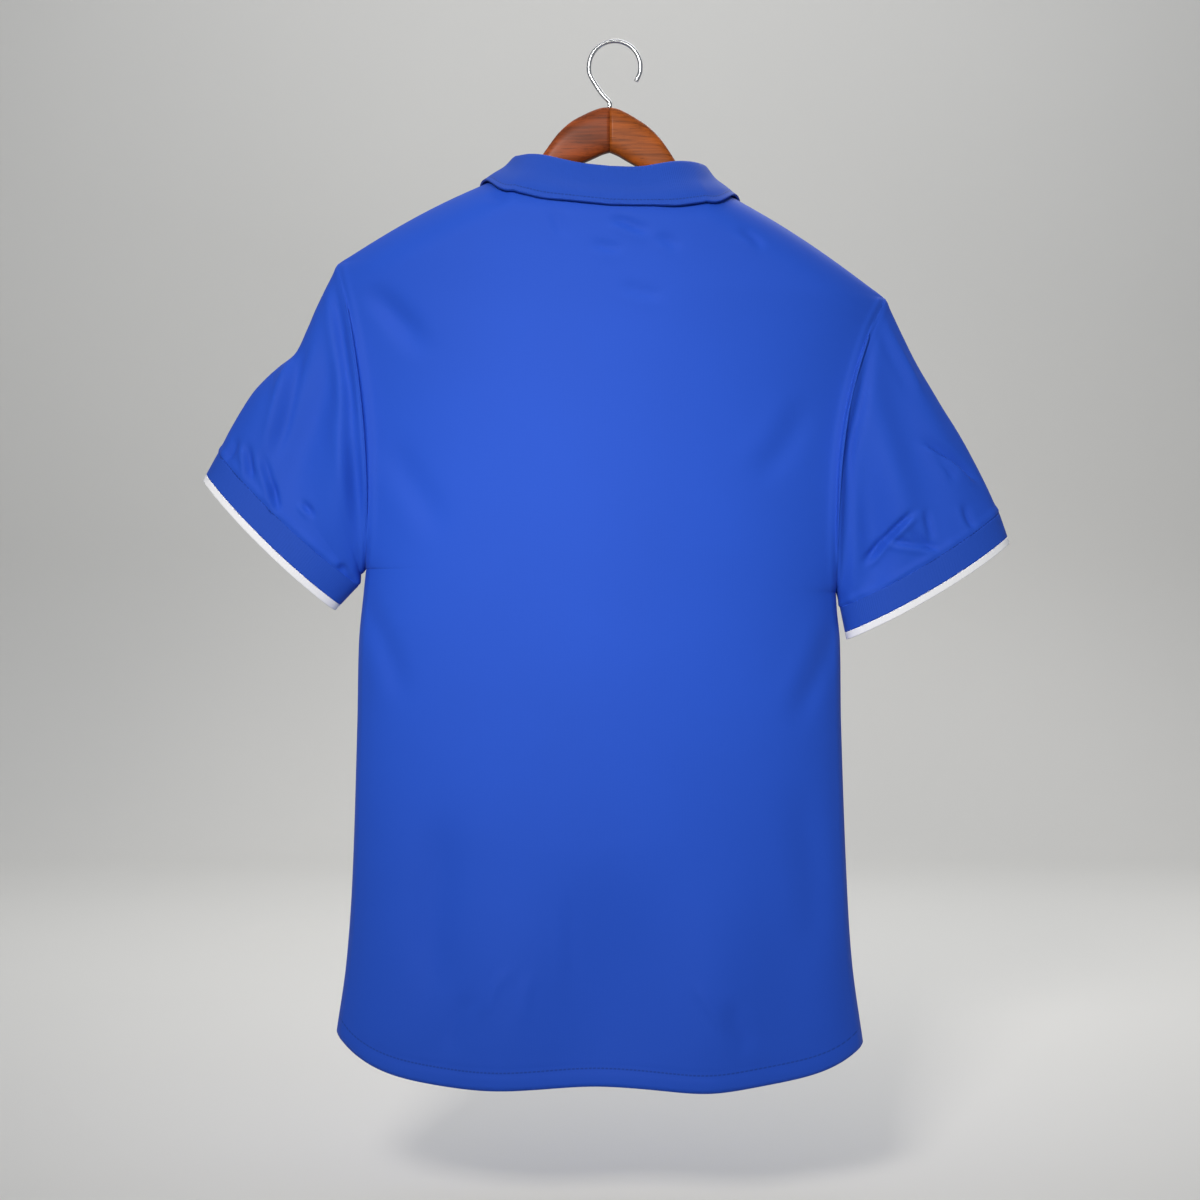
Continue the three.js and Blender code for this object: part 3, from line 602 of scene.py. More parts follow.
def ring_middle(ends):
    """The middle of a cuff's ring, from its outer and inner ends."""
    (outer_x, outer_z), (inner_x, inner_z) = ends
    return Vector(((outer_x + inner_x) / 2, 0, (outer_z + inner_z) / 2))


def cuff_point(side, ends, turn, grow=0):
    """A point of a cuff's ring, grown outwards, and bowed down the arm at its back and front."""
    middle = ring_middle(ends)
    reach = Vector((ends[0][0], 0, ends[0][1])) - middle
    reach *= 1 + grow / reach.length
    down = Vector((side["sign"] * reach.z, 0, -side["sign"] * reach.x)).normalized()
    point = middle + reach * math.cos(turn) + down * side["cuff_bow"] * math.sin(turn) ** 2
    point.y = -(side["cuff_half_depth"] + grow) * math.sin(turn)
    return point


def sleeve_fold_lift(side, degrees, share):
    """How far the sleeve's large folds lift its cloth."""
    lift = 0
    for at_armhole, at_cuff, start, end, width, rise in SLEEVE_FOLDS[side["name"]]:
        part = (share - start) / (end - start)
        if 0 < part < 1:
            across = degrees - lerp(at_armhole, at_cuff, share)
            lift += rise * math.sin(math.pi * part) * bell(across, width)
    return lift


def sleeve_point(side, turn, share):
    """A point of the sleeve, by its turn and its share of the way from armhole to cuff."""
    start, end = armhole_point(side, turn), cuff_point(side, side["cuff_seam"], turn)
    point = start.lerp(end, share)
    upper = clamp(math.cos(turn), CROWN_UNDERSIDE, 1)
    crown = between(CROWN_SHARES, side["crown"], share) * upper
    point.x += side["sign"] * crown * CROWN_OUT
    point.z += crown * CROWN_UP
    centre_start = Vector((side["edge"]["x"][3], 0, (side["shoulder_z"] + side["armpit_z"]) / 2))
    away = point - centre_start.lerp(ring_middle(side["cuff_seam"]), share)
    away.y *= SLEEVE_FLATNESS
    away.normalize()
    length = (end - start).length
    lift = sleeve_fold_lift(side, math.degrees(turn), share)
    facing = -1 if turn <= math.pi else 1
    creases = SLEEVE_CREASES[(side["name"], facing)]
    lift += crease_lift(creases, point.x, point.z) * min(1, 2 * abs(math.sin(turn)))
    from_cuff = (1 - share) * length
    lift += seam_puff(share * length) + CUFF_PUFF_GAIN * seam_puff(from_cuff)
    pucker = math.sin(turn * 17 + math.sin(turn * 5)) * bell(from_cuff, PUCKER_REACH)
    lift += PUCKER_RISE * pucker * smooth(from_cuff / PUCKER_START)
    return point + away * lift * smooth(share * length / 2)


# Sizes and colours that a user would change


def linear(hex_code):
    """An sRGB hex value as a linear colour."""
    parts = [int(hex_code[i : i + 2], 16) / 255 for i in (1, 3, 5)]
    return [p / 12.92 if p <= 0.04045 else ((p + 0.055) / 1.055) ** 2.4 for p in parts] + [1.0]


def size_prop(name, description, default, low, high):
    return bpy.props.FloatProperty(
        name=name, description=description, default=default, min=low, max=high
    )


def colour_prop(name, description, hex_code):
    return bpy.props.FloatVectorProperty(
        name=name,
        description=description,
        default=linear(hex_code),
        subtype="COLOR",
        size=4,
        min=0,
        max=1,
    )


class JerseySizes(bpy.types.PropertyGroup):
    """Sizes of the sewing, in millimetres."""

    cloth: size_prop("Cloth", "Thickness of the body's cloth in mm", 1.2, 0.5, 3)
    collar_cloth: size_prop("Collar", "Thickness of the collar in mm", 1.7, 0.5, 3)
    cuff_cloth: size_prop("Cuff", "Thickness of the cuffs in mm", 2.0, 0.5, 3)
    hem_band: size_prop("Hem band", "Height of the turned-up hem in mm", 14, 5, 40)
    stitch: size_prop("Stitch", "Length of one stitch in mm", 3.2, 1, 8)
    collar_stitch: size_prop("Collar stitch", "Topstitch's distance from the edge", 6, 2, 15)


class JerseyColours(bpy.types.PropertyGroup):
    """Colours of the cloth, the wood and the steel."""

    body: colour_prop("Body", "Royal-blue interlock", "#2250c2")
    rib: colour_prop("Rib", "Royal-blue rib of the collar and cuffs", "#214cb6")
    tipping: colour_prop("Tipping", "White tipping of the cuffs", "#eceef3")
    wood_left: colour_prop("Left wood", "Reddish-brown wood", "#904218")
    wood_right: colour_prop("Right wood", "Orange-brown wood", "#a05016")
    steel: colour_prop("Steel", "Plated wire", "#c9cbce")
    room: colour_prop("Room", "Pale floor and backdrop", "#dddcd9")


def sizes():
    return bpy.context.scene.jersey_sizes


def colours():
    return bpy.context.scene.jersey_colours


# Real sizes of the finishes, in millimetres. Real courses are about 0.5 mm apart, and thread is
# 0.3 mm thick: both are drawn coarser, so that they show. Grain is its length, depth and width.
COURSE = 1.1
CUFF_RIB = 1.7
COLLAR_RIB = 1.9
TENSION_SPOT = 111
THREAD_HALF_WIDTH = 0.85
KNIT_DEPTH = 0.35
GRAIN = (111, 6.25, 6.25)
GRAIN_DEPTH = 0.2
DRAW_MARK = 1.1
PAPER_CLOUD = 670

# Shares of the knit's depth: how high its loops, ribs and stitches stand
LOOP_RELIEF = 0.035
RIB_RELIEF = 0.32
THREAD_RELIEF = 0.5

# Painted shade of a stitch row's groove: how strongly it darkens the cloth, and how dark it is
GROOVE_SHADE_SHARE = 0.75
GROOVE_SHADE_TONE = 0.4

# The grain's slope, which follows each arm down from the joint, in degrees
GRAIN_SLOPE = 29

# Kinds of node, with the setting that makes each what it is
COORDINATES = ("ShaderNodeTexCoord", {})
SPLIT = ("ShaderNodeSeparateXYZ", {})
TURN = ("ShaderNodeMapping", {})
NOISE = ("ShaderNodeTexNoise", {})
TONE = ("ShaderNodeHueSaturation", {})
BUMP = ("ShaderNodeBump", {})
MIX = ("ShaderNodeMix", {"data_type": "RGBA"})
ADD = ("ShaderNodeMath", {"operation": "ADD"})
SUBTRACT = ("ShaderNodeMath", {"operation": "SUBTRACT"})
MULTIPLY = ("ShaderNodeMath", {"operation": "MULTIPLY"})
MULTIPLY_ADD = ("ShaderNodeMath", {"operation": "MULTIPLY_ADD"})
SINE = ("ShaderNodeMath", {"operation": "SINE"})
ABSOLUTE = ("ShaderNodeMath", {"operation": "ABSOLUTE"})
MAXIMUM = ("ShaderNodeMath", {"operation": "MAXIMUM"})
GREATER_THAN = ("ShaderNodeMath", {"operation": "GREATER_THAN"})
LESS_THAN = ("ShaderNodeMath", {"operation": "LESS_THAN"})

# A colour mix's sockets: the share of the second colour, the two colours, and the result
MIX_SHARE = 0
MIX_FIRST = 6
MIX_SECOND = 7
MIX_RESULT = 2


def add_node(tree, kind, settings, inputs):
    """Adds a node. An input is a value, an output, or a node whose first output is meant."""
    node = tree.nodes.new(kind)
    for name, value in settings.items():
        setattr(node, name, value)
    for name, value in inputs.items():
        if isinstance(value, bpy.types.Node):
            value = value.outputs[0]
        if isinstance(value, bpy.types.NodeSocket):
            tree.links.new(value, node.inputs[name])
        else:
            node.inputs[name].default_value = value
    return node


def new_material(name):
    """A material, its node tree and its shader."""
    material = bpy.data.materials.new(name)
    material.use_nodes = True
    tree = material.node_tree
    return material, tree, tree.nodes["Principled BSDF"]


def shaded(colour, share):
    """A colour made darker or lighter, up to full brightness."""
    return [min(1, part * share) for part in colour[:3]] + [1.0]


def waves(tree, distance, spacing):
    """Even waves along a distance, between -1 and 1."""
    turns = add_node(tree, *MULTIPLY, {0: distance, 1: 2 * math.pi / (spacing * MM)})
    return add_node(tree, *SINE, {0: turns})


def stitch_row(tree, along, across, at, stitch):
    """A row of stitches at a distance from the edge, 1 on the thread and 0 off it."""
    beside = add_node(tree, *SUBTRACT, {0: across, 1: at * MM})
    off = add_node(tree, *ABSOLUTE, {0: beside})
    fall = add_node(tree, *MULTIPLY, {0: off, 1: 1 / (THREAD_HALF_WIDTH * MM)})
    line = add_node(tree, *SUBTRACT, {0: 1.0, 1: fall})
    shape = add_node(tree, *MAXIMUM, {0: line, 1: 0.0})
    dash = add_node(tree, *GREATER_THAN, {0: waves(tree, along, stitch), 1: -0.45})
    shown = add_node(tree, *MULTIPLY_ADD, {0: dash, 1: 0.75, 2: 0.25})
    return add_node(tree, *MULTIPLY, {0: shape, 1: shown})


def knit_material(name, colour, stitch_rows=(), rib=0.0):
    """Knitted polyester: loops in even courses, uneven tone, painted shade at stitches, faint sheen.
    """
    material, tree, shader = new_material(name)
    coordinates = add_node(tree, *COORDINATES, {})
    split = add_node(tree, *SPLIT, {"Vector": coordinates.outputs["UV"]})
    along, across = split.outputs["X"], split.outputs["Y"]
    loops = add_node(
        tree, *ADD, {0: waves(tree, along, COURSE), 1: waves(tree, across, COURSE)}
    )
    height = add_node(tree, *MULTIPLY, {0: loops, 1: LOOP_RELIEF})
    if rib:
        ridge = add_node(tree, *MULTIPLY, {0: waves(tree, along, rib), 1: RIB_RELIEF})
        height = add_node(tree, *ADD, {0: height, 1: ridge})

    # Wide, faint unevenness of the cloth's tension.
    broad = add_node(
        tree,
        *NOISE,
        {
            "Vector": coordinates.outputs["Object"],
            "Scale": 1 / (TENSION_SPOT * MM),
            "Detail": 2.0,
            "Roughness": 0.45,
        },
    )
    uneven = add_node(tree, *SUBTRACT, {0: broad, 1: 0.5})
    brightness = add_node(tree, *MULTIPLY_ADD, {0: uneven, 1: 0.10, 2: 1.0})
    face = add_node(tree, *TONE, {"Color": colour, "Value": brightness}).outputs["Color"]
    # Along each row of stitches the thread stands up in the bump, and painted shade of its groove
    # darkens the cloth.
    for at in stitch_rows:
        thread = stitch_row(tree, along, across, at, sizes().stitch)
        raised = add_node(tree, *MULTIPLY, {0: thread, 1: THREAD_RELIEF})
        height = add_node(tree, *ADD, {0: height, 1: raised})
        share = add_node(tree, *MULTIPLY, {0: thread, 1: GROOVE_SHADE_SHARE})
        # The painted shade: the cloth's colour made darker, for the shadow in the stitches' groove.
        dark = shaded(colour, GROOVE_SHADE_TONE)
        mix = add_node(tree, *MIX, {MIX_SHARE: share, MIX_FIRST: face, MIX_SECOND: dark})
        face = mix.outputs[MIX_RESULT]
    bump = add_node(
        tree, *BUMP, {"Strength": 0.5, "Distance": KNIT_DEPTH * MM, "Height": height}
    )
    tree.links.new(face, shader.inputs["Base Color"])
    tree.links.new(bump.outputs["Normal"], shader.inputs["Normal"])
    shader.inputs["Roughness"].default_value = 0.68
    shader.inputs["Specular IOR Level"].default_value = 0.16
    shader.inputs["Sheen Weight"].default_value = 0.05
    shader.inputs["Sheen Roughness"].default_value = 0.45
    shader.inputs["Sheen Tint"].default_value = (0.45, 0.6, 1.0, 1.0)
    return material


def varnished_wood(name, colour, slope_degrees):
    """Steamed hardwood under a thin clear varnish: straight grain along the arm, fine dark pores."""
    material, tree, shader = new_material(name)
    turned = add_node(
        tree,
        *TURN,
        {
            "Vector": add_node(tree, *COORDINATES, {}).outputs["Object"],
            "Rotation": (0, math.radians(slope_degrees), 0),
            "Scale": [1 / (size * MM) for size in GRAIN],
        },
    )
    grain = add_node(
        tree,
        *NOISE,
        {"Vector": turned, "Scale": 1.0, "Detail": 6.0, "Roughness": 0.62, "Distortion": 0.8},
    )
    pores = add_node(
        tree, *NOISE, {"Vector": turned, "Scale": 5.5, "Detail": 3.0, "Roughness": 0.6}
    )
    tones = add_node(tree, "ShaderNodeValToRGB", {}, {"Fac": grain})
    dark, light = tones.color_ramp.elements
    dark.position, light.position = 0.32, 0.68
    dark.color, light.color = shaded(colour, 0.42), shaded(colour, 1.35)
    pore = add_node(tree, *LESS_THAN, {0: pores, 1: 0.4})
    share = add_node(tree, *MULTIPLY, {0: pore, 1: 0.45})
    deep = shaded(colour, 0.25)
    mix = add_node(tree, *MIX, {MIX_SHARE: share, MIX_FIRST: tones, MIX_SECOND: deep})
    bump = add_node(
        tree, *BUMP, {"Strength": 0.15, "Distance": GRAIN_DEPTH * MM, "Height": grain}
    )
    tree.links.new(mix.outputs[MIX_RESULT], shader.inputs["Base Color"])
    tree.links.new(bump.outputs["Normal"], shader.inputs["Normal"])
    shader.inputs["Roughness"].default_value = 0.55
    shader.inputs["Specular IOR Level"].default_value = 0.2
    shader.inputs["Coat Weight"].default_value = 0.07
    shader.inputs["Coat Roughness"].default_value = 0.25
    return material


def plated_wire(name, colour):
    """Drawn steel wire with bright zinc plating: smooth, with faint draw marks along it."""
    material, tree, shader = new_material(name)
    place = add_node(tree, *COORDINATES, {}).outputs["Object"]
    marks = add_node(
        tree, *NOISE, {"Vector": place, "Scale": 1 / (DRAW_MARK * MM), "Detail": 2.0}
    )
    rough = add_node(tree, *MULTIPLY_ADD, {0: marks, 1: 0.14, 2: 0.16})
    tree.links.new(rough.outputs[0], shader.inputs["Roughness"])
    shader.inputs["Base Color"].default_value = colour
    shader.inputs["Metallic"].default_value = 1.0
    return material


def matt_paper(name, colour):
    """Seamless background paper: matt, with the faintest mottle."""
    material, tree, shader = new_material(name)
    place = add_node(tree, *COORDINATES, {}).outputs["Object"]
    cloud = add_node(tree, *NOISE, {"Vector": place, "Scale": 1 / (PAPER_CLOUD * MM)})
    brightness = add_node(tree, *MULTIPLY_ADD, {0: cloud, 1: 0.04, 2: 0.98})
    shade = add_node(tree, *TONE, {"Color": colour, "Value": brightness})
    tree.links.new(shade.outputs["Color"], shader.inputs["Base Color"])
    shader.inputs["Roughness"].default_value = 0.9
    return material


# Meshes


def mapped_sheet(name, grid, place, is_round=False, ends_closed=False):
    """A bmesh grid bent to a form. Place gives a point in mm, and its distances along the cloth."""
    columns, rows = grid
    bm = bmesh.new()
    bmesh.ops.create_grid(bm, x_segments=columns, y_segments=rows, size=0.5)
    layer = bm.loops.layers.uv.new("cloth")
    spots = {}
    for vert in bm.verts:
        point, along, across = place(vert.co.x + 0.5, vert.co.y + 0.5)
        spots[vert] = (along * MM, across * MM)
        vert.co = point * MM
    for face in bm.faces:
        for loop in face.loops:
            loop[layer].uv = spots[loop.vert]
    if is_round:
        bmesh.ops.remove_doubles(bm, verts=bm.verts[:], dist=MERGE_DISTANCE * MM)
    if ends_closed:
        bmesh.ops.holes_fill(bm, edges=[edge for edge in bm.edges if edge.is_boundary])
    mesh = bpy.data.meshes.new(name)
    bm.to_mesh(mesh)
    bm.free()
    piece = bpy.data.objects.new(name, mesh)
    bpy.context.collection.objects.link(piece)
    mesh.polygons.foreach_set("use_smooth", [True] * len(mesh.polygons))
    return piece


def face_outwards(piece, outward):
    """Turns the sheet over where it faces the wrong way. Outward gives a point's outer side."""
    mesh = piece.data
    facing = sum(p.normal.dot(outward(p.center)) * p.area for p in mesh.polygons)
    if facing < 0:
        mesh.flip_normals()


def outwards(piece):
    """Turns the faces of a closed body out."""
    bm = bmesh.new()
    bm.from_mesh(piece.data)
    bmesh.ops.recalc_face_normals(bm, faces=bm.faces[:])
    if bm.calc_volume(signed=True) < 0:
        bmesh.ops.reverse_faces(bm, faces=bm.faces[:])
    bm.to_mesh(piece.data)
    bm.free()


def thicken(piece, thickness, offset=-1.0):
    """Gives the cloth its thickness, inwards unless the offset is nought."""
    wall = piece.modifiers.new("Wall", "SOLIDIFY")
    wall.thickness = thickness * MM
    wall.offset = offset
    wall.use_even_offset = False


def round_edge(piece, radius):
    """Rounds the cloth's free edges."""
    rounded = piece.modifiers.new("Rounded edge", "BEVEL")
    rounded.width = radius * MM
    rounded.segments = 2
    rounded.limit_method = "ANGLE"
    rounded.angle_limit = math.radians(60)


def finish(piece, material, node):
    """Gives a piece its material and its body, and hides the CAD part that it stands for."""
    piece.data.materials.append(material)
    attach(piece, "root")
    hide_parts(node)


def make_panel(node, panel):
    """A panel, thickened inwards, with its row of hem stitches."""

    def place(u, v):
        point, hem_distance = panel.place(2 * u - 1, 2 * (1 - v))
        return point, point.x + KNIT_TURN_SHARE * abs(point.y), hem_distance

    piece = mapped_sheet(f"{node}_cloth", PANEL_GRID, place)
    face_outwards(piece, lambda centre: Vector((0, panel.sign, 0)))
    thicken(piece, sizes().cloth)
    hem_stitches = (sizes().hem_band,)
    material = knit_material(f"{node}_cloth_interlock", colours().body, hem_stitches)
    finish(piece, material, node)


def make_sleeve(side):
    """A sleeve, from the armhole to its seam with the cuff."""

    def place(u, v):
        point = sleeve_point(side, 2 * math.pi * u, 1 - v)
        return point, u * SLEEVE_ROUND, v * SLEEVE_LENGTH

    name = f"sleeve_{side['name']}"
    piece = mapped_sheet(f"{name}_cloth", SLEEVE_GRID, place, is_round=True)
    middle = Vector(SLEEVE_INSIDE) * MM
    middle.x *= side["sign"]
    face_outwards(piece, lambda centre: centre - middle)
    thicken(piece, sizes().cloth)
    material = knit_material(f"{name}_interlock", colours().body, (SLEEVE_STITCH,))
    finish(piece, material, name)


def make_cuff_band(side, node, look, start, end, rows):
    """A knitted band between two shares of the cuff's depth, rounded at its free edge."""
    ending, slot, material = look
    grow = (sizes().cuff_cloth - sizes().cloth) / 2 + CUFF_CLEARANCE

    def place(u, v):
        turn = 2 * math.pi * u
        share = lerp(end, start, v)
        seam = cuff_point(side, side["cuff_seam"], turn, grow)
        hem = cuff_point(side, side["cuff_hem"], turn, grow)
        wave = 0.5 * math.sin(3 * turn + 1.3) + 0.35 * math.sin(7 * turn)
        point = seam.lerp(hem, share)
        point.y += math.copysign(CUFF_WAVE, -math.sin(turn)) * wave * abs(math.sin(turn))
        return point, u * CUFF_ROUND, share * CUFF_LENGTH

    piece = mapped_sheet(f"{node}_{ending}", (CUFF_COLUMNS, rows), place, is_round=True)
    middle = ring_middle(side["cuff_hem"]) * MM
    face_outwards(piece, lambda centre: centre - middle)
    thicken(piece, sizes().cuff_cloth)
    round_edge(piece, 0.6)
    finish(piece, material, node)
    return piece


def make_cuff(side):
    """The blue rib of a cuff, and its white tipping."""
    cuff = f"cuff_{side['name']}"
    edge = f"cuff_edge_{side['name']}"
    white_knit = knit_material(f"{cuff}_white_knit", colours().tipping, rib=CUFF_RIB)
    blue_knit = knit_material(f"{cuff}_rib_knit", colours().rib, rib=CUFF_RIB)
    white = ("white", "white_tipping", white_knit)
    blue = ("rib", "royal_rib", blue_knit)
    tipping = make_cuff_band(side, edge, white, BLUE_CUFF_SHARE, 1, TIPPING_ROWS)
    band = make_cuff_band(side, cuff, blue, -CUFF_OVERLAP_SHARE, BLUE_CUFF_SHARE, RIB_ROWS)


def make_collar():
    """The collar, from its foot at the neck seam over the roll to its free edge."""

    def place(u, v):
        way = 2 * u - 1
        side = LEFT if way < 0 else RIGHT
        points = collar_path(side, abs(way) * COLLAR_END_SHARE)
        point = through(points, v)
        from_edge = (1 - v) * COLLAR_LENGTH
        pull, groove_width = STITCH_GROOVE
        dip = pull * bell(from_edge - sizes().collar_stitch, groove_width)
        ripple = COLLAR_RIPPLE * math.sin(way * 23 + 3 * v) * smooth((v - 0.6) / 0.4)
        point.y += math.copysign(1, point.y) * (ripple - dip)
        return point, way * COLLAR_HALF_LENGTH, from_edge

    piece = mapped_sheet("collar_rib", COLLAR_GRID, place)
    face_outwards(piece, lambda centre: Vector((0, math.copysign(1, centre.y), 0.2)))
    thicken(piece, sizes().collar_cloth, 0.0)
    round_edge(piece, 0.5)
    stitches = (sizes().collar_stitch,)
    material = knit_material("collar_rib_knit", colours().rib, stitches, rib=COLLAR_RIB)
    finish(piece, material, "collar")


def squared(value):
    """A sine or cosine that makes a circle a rounded square."""
    return math.copysign(abs(value) ** ARM_SQUARENESS, value)


def arm_top(side, x, dome):
    """The height of an arm's upper edge: its dome, and under the cloth the shoulder line."""
    dome_top = dome - (x - HANGER_X) * math.tan(math.radians(HANGER_TILT))
    neck_x = NECK_X + side["sign"] * NECK_HALF_WIDTH
    if (x - neck_x) * side["sign"] <= 0:
        return dome_top
    return min(dome_top, shoulder_line(x) - ARM_CLEARANCE)


def make_arm(side):
    """A wooden arm, a rounded square section drawn out from the centre joint."""

    def place(u, v):
        turn = 2 * math.pi * u
        along = ARM["along"][-1] * (1 - (1 - v) ** ARM_SPREAD)
        x = HANGER_X + side["sign"] * (along + JOINT_GAP / 2)
        tall = between(ARM["along"], ARM["tall"], along)
        half = between(ARM["along"], ARM["half"], along)
        top = arm_top(side, x, between(ARM["along"], ARM["dome"], along))
        z = top - tall / 2 * (1 - squared(math.cos(turn)))
        return Vector((x, half * squared(math.sin(turn)), z)), along, u * ARM_ROUND

    name = f"hanger_arm_{side['name']}"
    piece = mapped_sheet(f"{name}_wood", ARM_GRID, place, is_round=True, ends_closed=True)
    outwards(piece)
    wood = colours().wood_left if side is LEFT else colours().wood_right
    material = varnished_wood(f"{name}_varnish", wood, side["sign"] * GRAIN_SLOPE)
    finish(piece, material, name)


def hook_line():
    """The wire's centre line, from its free tip over the top to its foot on the wood."""
    radius = HOOK_RADIUS + WIRE_RADIUS
    points = []
    for step in range(HOOK_POINTS):
        turn = math.radians(HOOK_START + HOOK_STEP * step)
        points.append(Vector((radius * math.cos(turn), 0, -HOOK_RADIUS + radius * math.sin(turn))))
    foot = Vector((STEM_X, 0, ARM["dome"][0] + 0.2))
    bend = [Vector((-11, 0, -40)), Vector((STEM_X - 0.6, 0, -47)), Vector((STEM_X, 0, -50))]
    return points + bend + [foot]


def make_hook():
    """The wire, a ring drawn along its centre line and rounded at its tip."""
    points = hook_line()
    sideways = Vector((0, 1, 0))

    def place(u, v):
        turn = 2 * math.pi * u
        ahead = through(points, min(v + 0.004, 1)) - through(points, max(v - 0.004, 0))
        ahead.normalize()
        upwards = sideways.cross(ahead).normalized()
        radius = WIRE_RADIUS * math.sqrt(clamp(1 - (1 - clamp(v / TIP_SHARE)) ** 2, 0.02, 1))
        ring = upwards * radius * math.cos(turn) + sideways * radius * math.sin(turn)
        return through(points, v) + ring, u * 2 * math.pi * WIRE_RADIUS, v * WIRE_LENGTH

    piece = mapped_sheet("hanger_hook_wire", HOOK_GRID, place, is_round=True, ends_closed=True)
    outwards(piece)
    finish(piece, plated_wire("plated_steel", colours().steel), "hanger_hook")


class PieceOperator:
    """What all of the operators share."""

    bl_options = {"REGISTER", "UNDO"}

    def execute(self, context):
        self.make()
        return {"FINISHED"}


class JERSEY_OT_arms(PieceOperator, bpy.types.Operator):
    """Shape the two wooden arms of the hanger"""

    bl_idname = "jersey.arms"
    bl_label = "Hanger arms"

    def make(self):
        for side in SIDES:
            make_arm(side)


class JERSEY_OT_hook(PieceOperator, bpy.types.Operator):
    """Bend the hanger's wire hook"""

    bl_idname = "jersey.hook"
    bl_label = "Hanger hook"

    def make(self):
        make_hook()


class JERSEY_OT_back(PieceOperator, bpy.types.Operator):
    """Cut and crease the back panel"""

    bl_idname = "jersey.back"
    bl_label = "Back"

    def make(self):
        make_panel("back", BACK)


class JERSEY_OT_front(PieceOperator, bpy.types.Operator):
    """Cut and crease the front panel"""

    bl_idname = "jersey.front"
    bl_label = "Front"

    def make(self):
        make_panel("front", FRONT)


class JERSEY_OT_sleeves(PieceOperator, bpy.types.Operator):
    """Set in both sleeves"""

    bl_idname = "jersey.sleeves"
    bl_label = "Sleeves"

    def make(self):
        for side in SIDES:
            make_sleeve(side)


class JERSEY_OT_cuffs(PieceOperator, bpy.types.Operator):
    """Knit both ribbed cuffs with their white tipping"""

    bl_idname = "jersey.cuffs"
    bl_label = "Cuffs"

    def make(self):
        for side in SIDES:
            make_cuff(side)


class JERSEY_OT_collar(PieceOperator, bpy.types.Operator):
    """Fold the collar over its stand"""

    bl_idname = "jersey.collar"
    bl_label = "Collar"

    def make(self):
        make_collar()


# The stage, in metres
FLOOR_Z = -0.95
FLOOR_FRONT_Y = -5
WALL_Y = 2.9
WALL_RISE = 4
BACKDROP_WIDTH = 12
SWEEP_RADIUS = 0.6
PLANE_Y = -0.035
CAMERA_DISTANCE = 1.65
FRAME_WIDTH = 0.948
CAMERA_X = -0.01185
CAMERA_Z = -0.449
SENSOR = 36.0


JERSEY_MIDDLE = (CAMERA_X, 0, -0.42)

# Each light: its name, its place, what it is aimed at, its size, power, tint and spread in degrees
LIGHTS = (
    ("key", (-0.36, -1.72, 0.3), JERSEY_MIDDLE, (0.35, 0.35), 2.3, "#fffaf4", 45),
    ("fill", (1.3, -1.7, 0.2), JERSEY_MIDDLE, (1.4, 1.4), 1.2, "#f4f8ff", 180),
    ("top", (0.0, -0.1, 1.5), JERSEY_MIDDLE, (1.6, 1.0), 3.4, "#ffffff", 180),
    ("back", (0.5, 1.6, 1.2), (0, 0, -0.45), (1.2, 1.0), 15, "#ffffff", 180),
    ("paper", (0.0, 0.9, 1.6), (0, WALL_Y, -0.3), (2.4, 0.8), 32, "#ffffff", 180),
)
ROOM_TINT = "#e9edf2"
ROOM_STRENGTH = 0.3


def sweep_spot(u, v):
    """A point of the paper, from the floor's front edge over the bend and up the wall."""
    x = (u - 0.5) * BACKDROP_WIDTH
    depth = FLOOR_FRONT_Y + v * (WALL_Y - FLOOR_FRONT_Y + WALL_RISE)
    run = depth - (WALL_Y - SWEEP_RADIUS)
    if run <= 0:
        spot = Vector((x, depth, FLOOR_Z))
    elif run < SWEEP_RADIUS * math.pi / 2:
        turn = run / SWEEP_RADIUS
        y = WALL_Y - SWEEP_RADIUS * (1 - math.sin(turn))
        spot = Vector((x, y, FLOOR_Z + SWEEP_RADIUS * (1 - math.cos(turn))))
    else:
        spot = Vector((x, WALL_Y, FLOOR_Z + run - SWEEP_RADIUS * (math.pi / 2 - 1)))
    return spot / MM, x / MM, depth / MM


def soft_box(name, place, aim, size, power, tint, spread):
    """A soft light that the camera doesn't see."""
    light = bpy.data.lights.new(name, "AREA")
    light.spread = math.radians(spread)
    light.shape = "RECTANGLE"
    light.size, light.size_y = size
    light.energy = power
    light.color = linear(tint)[:3]
    lamp = bpy.data.objects.new(name, light)
    lamp.location = place
    lamp.visible_camera = False
    lamp.rotation_euler = (Vector(aim) - Vector(place)).to_track_quat("-Z", "Y").to_euler()
    bpy.context.collection.objects.link(lamp)


def set_camera():
    """A camera that looks straight at the jersey's back, level with its middle."""
    camera = bpy.data.objects.new("Camera", bpy.data.cameras.new("Camera"))
    camera.data.sensor_width = SENSOR
    camera.data.lens = SENSOR * CAMERA_DISTANCE / FRAME_WIDTH
    camera.location = (CAMERA_X, PLANE_Y - CAMERA_DISTANCE, CAMERA_Z)
    camera.rotation_euler = (math.pi / 2, 0, 0)
    bpy.context.collection.objects.link(camera)
    bpy.context.scene.camera = camera


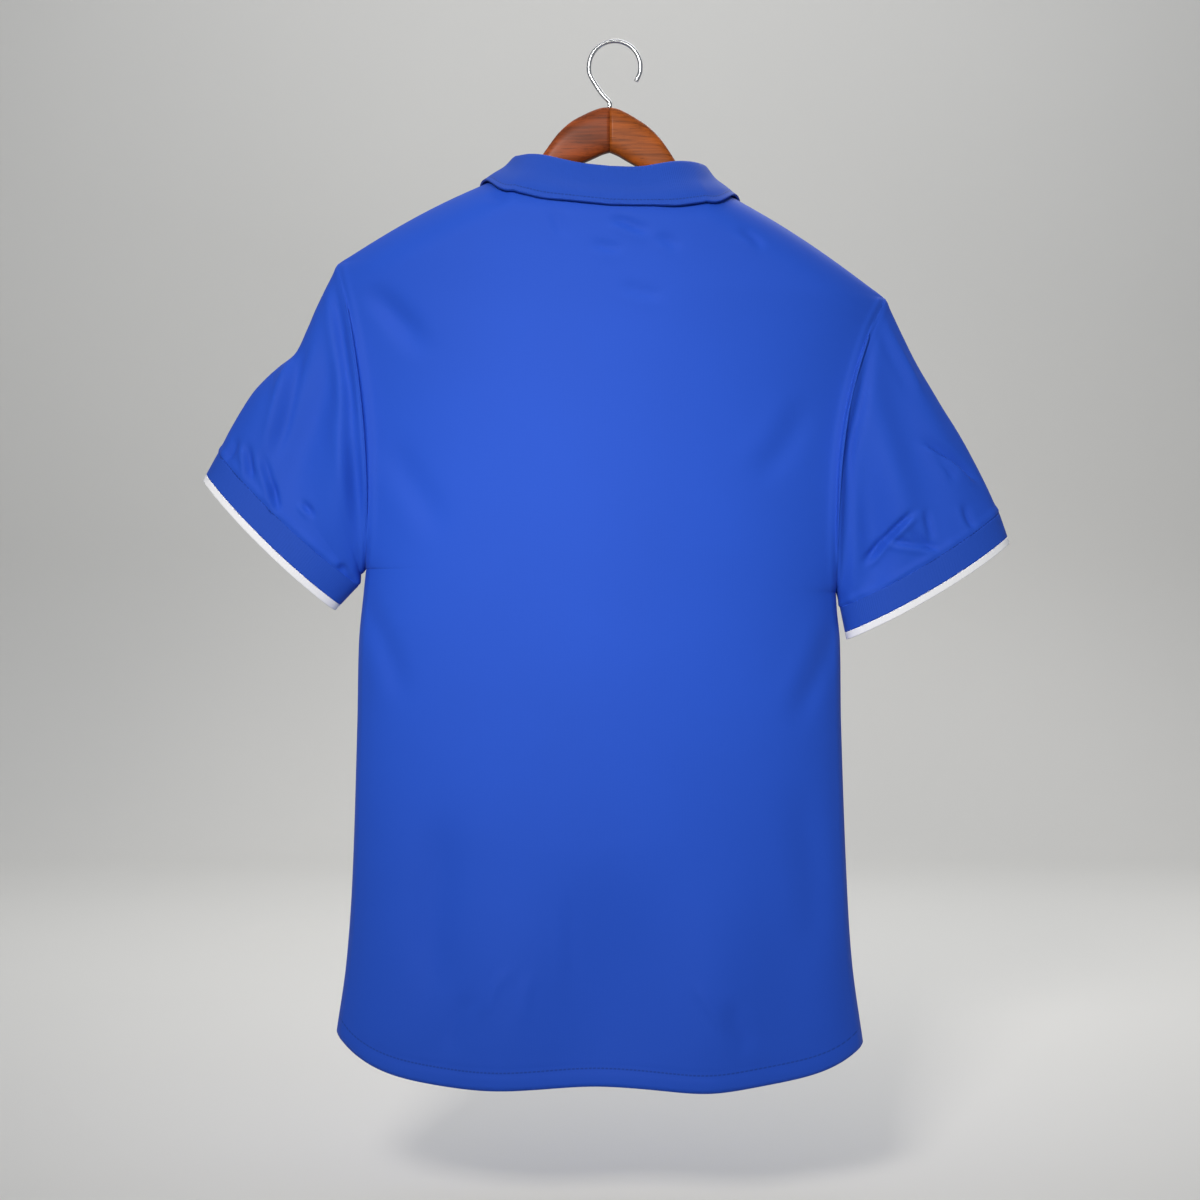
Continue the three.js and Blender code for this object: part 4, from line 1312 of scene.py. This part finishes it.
class JERSEY_OT_stage(PieceOperator, bpy.types.Operator):
    """Set the pale room, the soft light and the camera"""

    bl_idname = "jersey.stage"
    bl_label = "Stage"

    def make(self):
        paper = mapped_sheet("paper_sweep", BACKDROP_GRID, sweep_spot)
        face_outwards(paper, lambda centre: Vector((0, -1, 1)))
        paper.data.materials.append(matt_paper("background_paper", colours().room))
        for light in LIGHTS:
            soft_box(*light)
        world = bpy.data.worlds.new("Room light")
        world.use_nodes = True
        background = world.node_tree.nodes["Background"]
        background.inputs["Color"].default_value = linear(ROOM_TINT)
        background.inputs["Strength"].default_value = ROOM_STRENGTH
        bpy.context.scene.world = world
        bpy.context.scene.view_settings.view_transform = "Standard"
        set_camera()


OPERATORS = (
    JERSEY_OT_arms,
    JERSEY_OT_hook,
    JERSEY_OT_back,
    JERSEY_OT_front,
    JERSEY_OT_sleeves,
    JERSEY_OT_cuffs,
    JERSEY_OT_collar,
    JERSEY_OT_stage,
)


class JERSEY_PT_panel(bpy.types.Panel):
    """The jersey's pieces, in the order in which they are made"""

    bl_idname = "JERSEY_PT_panel"
    bl_label = "Hung jersey"
    bl_space_type = "VIEW_3D"
    bl_region_type = "UI"
    bl_category = "Jersey"

    def draw(self, context):
        for group in (context.scene.jersey_sizes, context.scene.jersey_colours):
            for name in group.__annotations__:
                self.layout.prop(group, name)
        for operator in OPERATORS:
            self.layout.operator(operator.bl_idname)


CLASSES = (JerseySizes, JerseyColours, *OPERATORS, JERSEY_PT_panel)


def register():
    for kind in CLASSES:
        bpy.utils.register_class(kind)
    bpy.types.Scene.jersey_sizes = bpy.props.PointerProperty(type=JerseySizes)
    bpy.types.Scene.jersey_colours = bpy.props.PointerProperty(type=JerseyColours)


def unregister():
    del bpy.types.Scene.jersey_colours
    del bpy.types.Scene.jersey_sizes
    for kind in reversed(CLASSES):
        bpy.utils.unregister_class(kind)


def main():
    register()
    for operator in OPERATORS:
        group, name = operator.bl_idname.split(".")
        getattr(getattr(bpy.ops, group), name)()


if __name__ == "__main__":
    main()
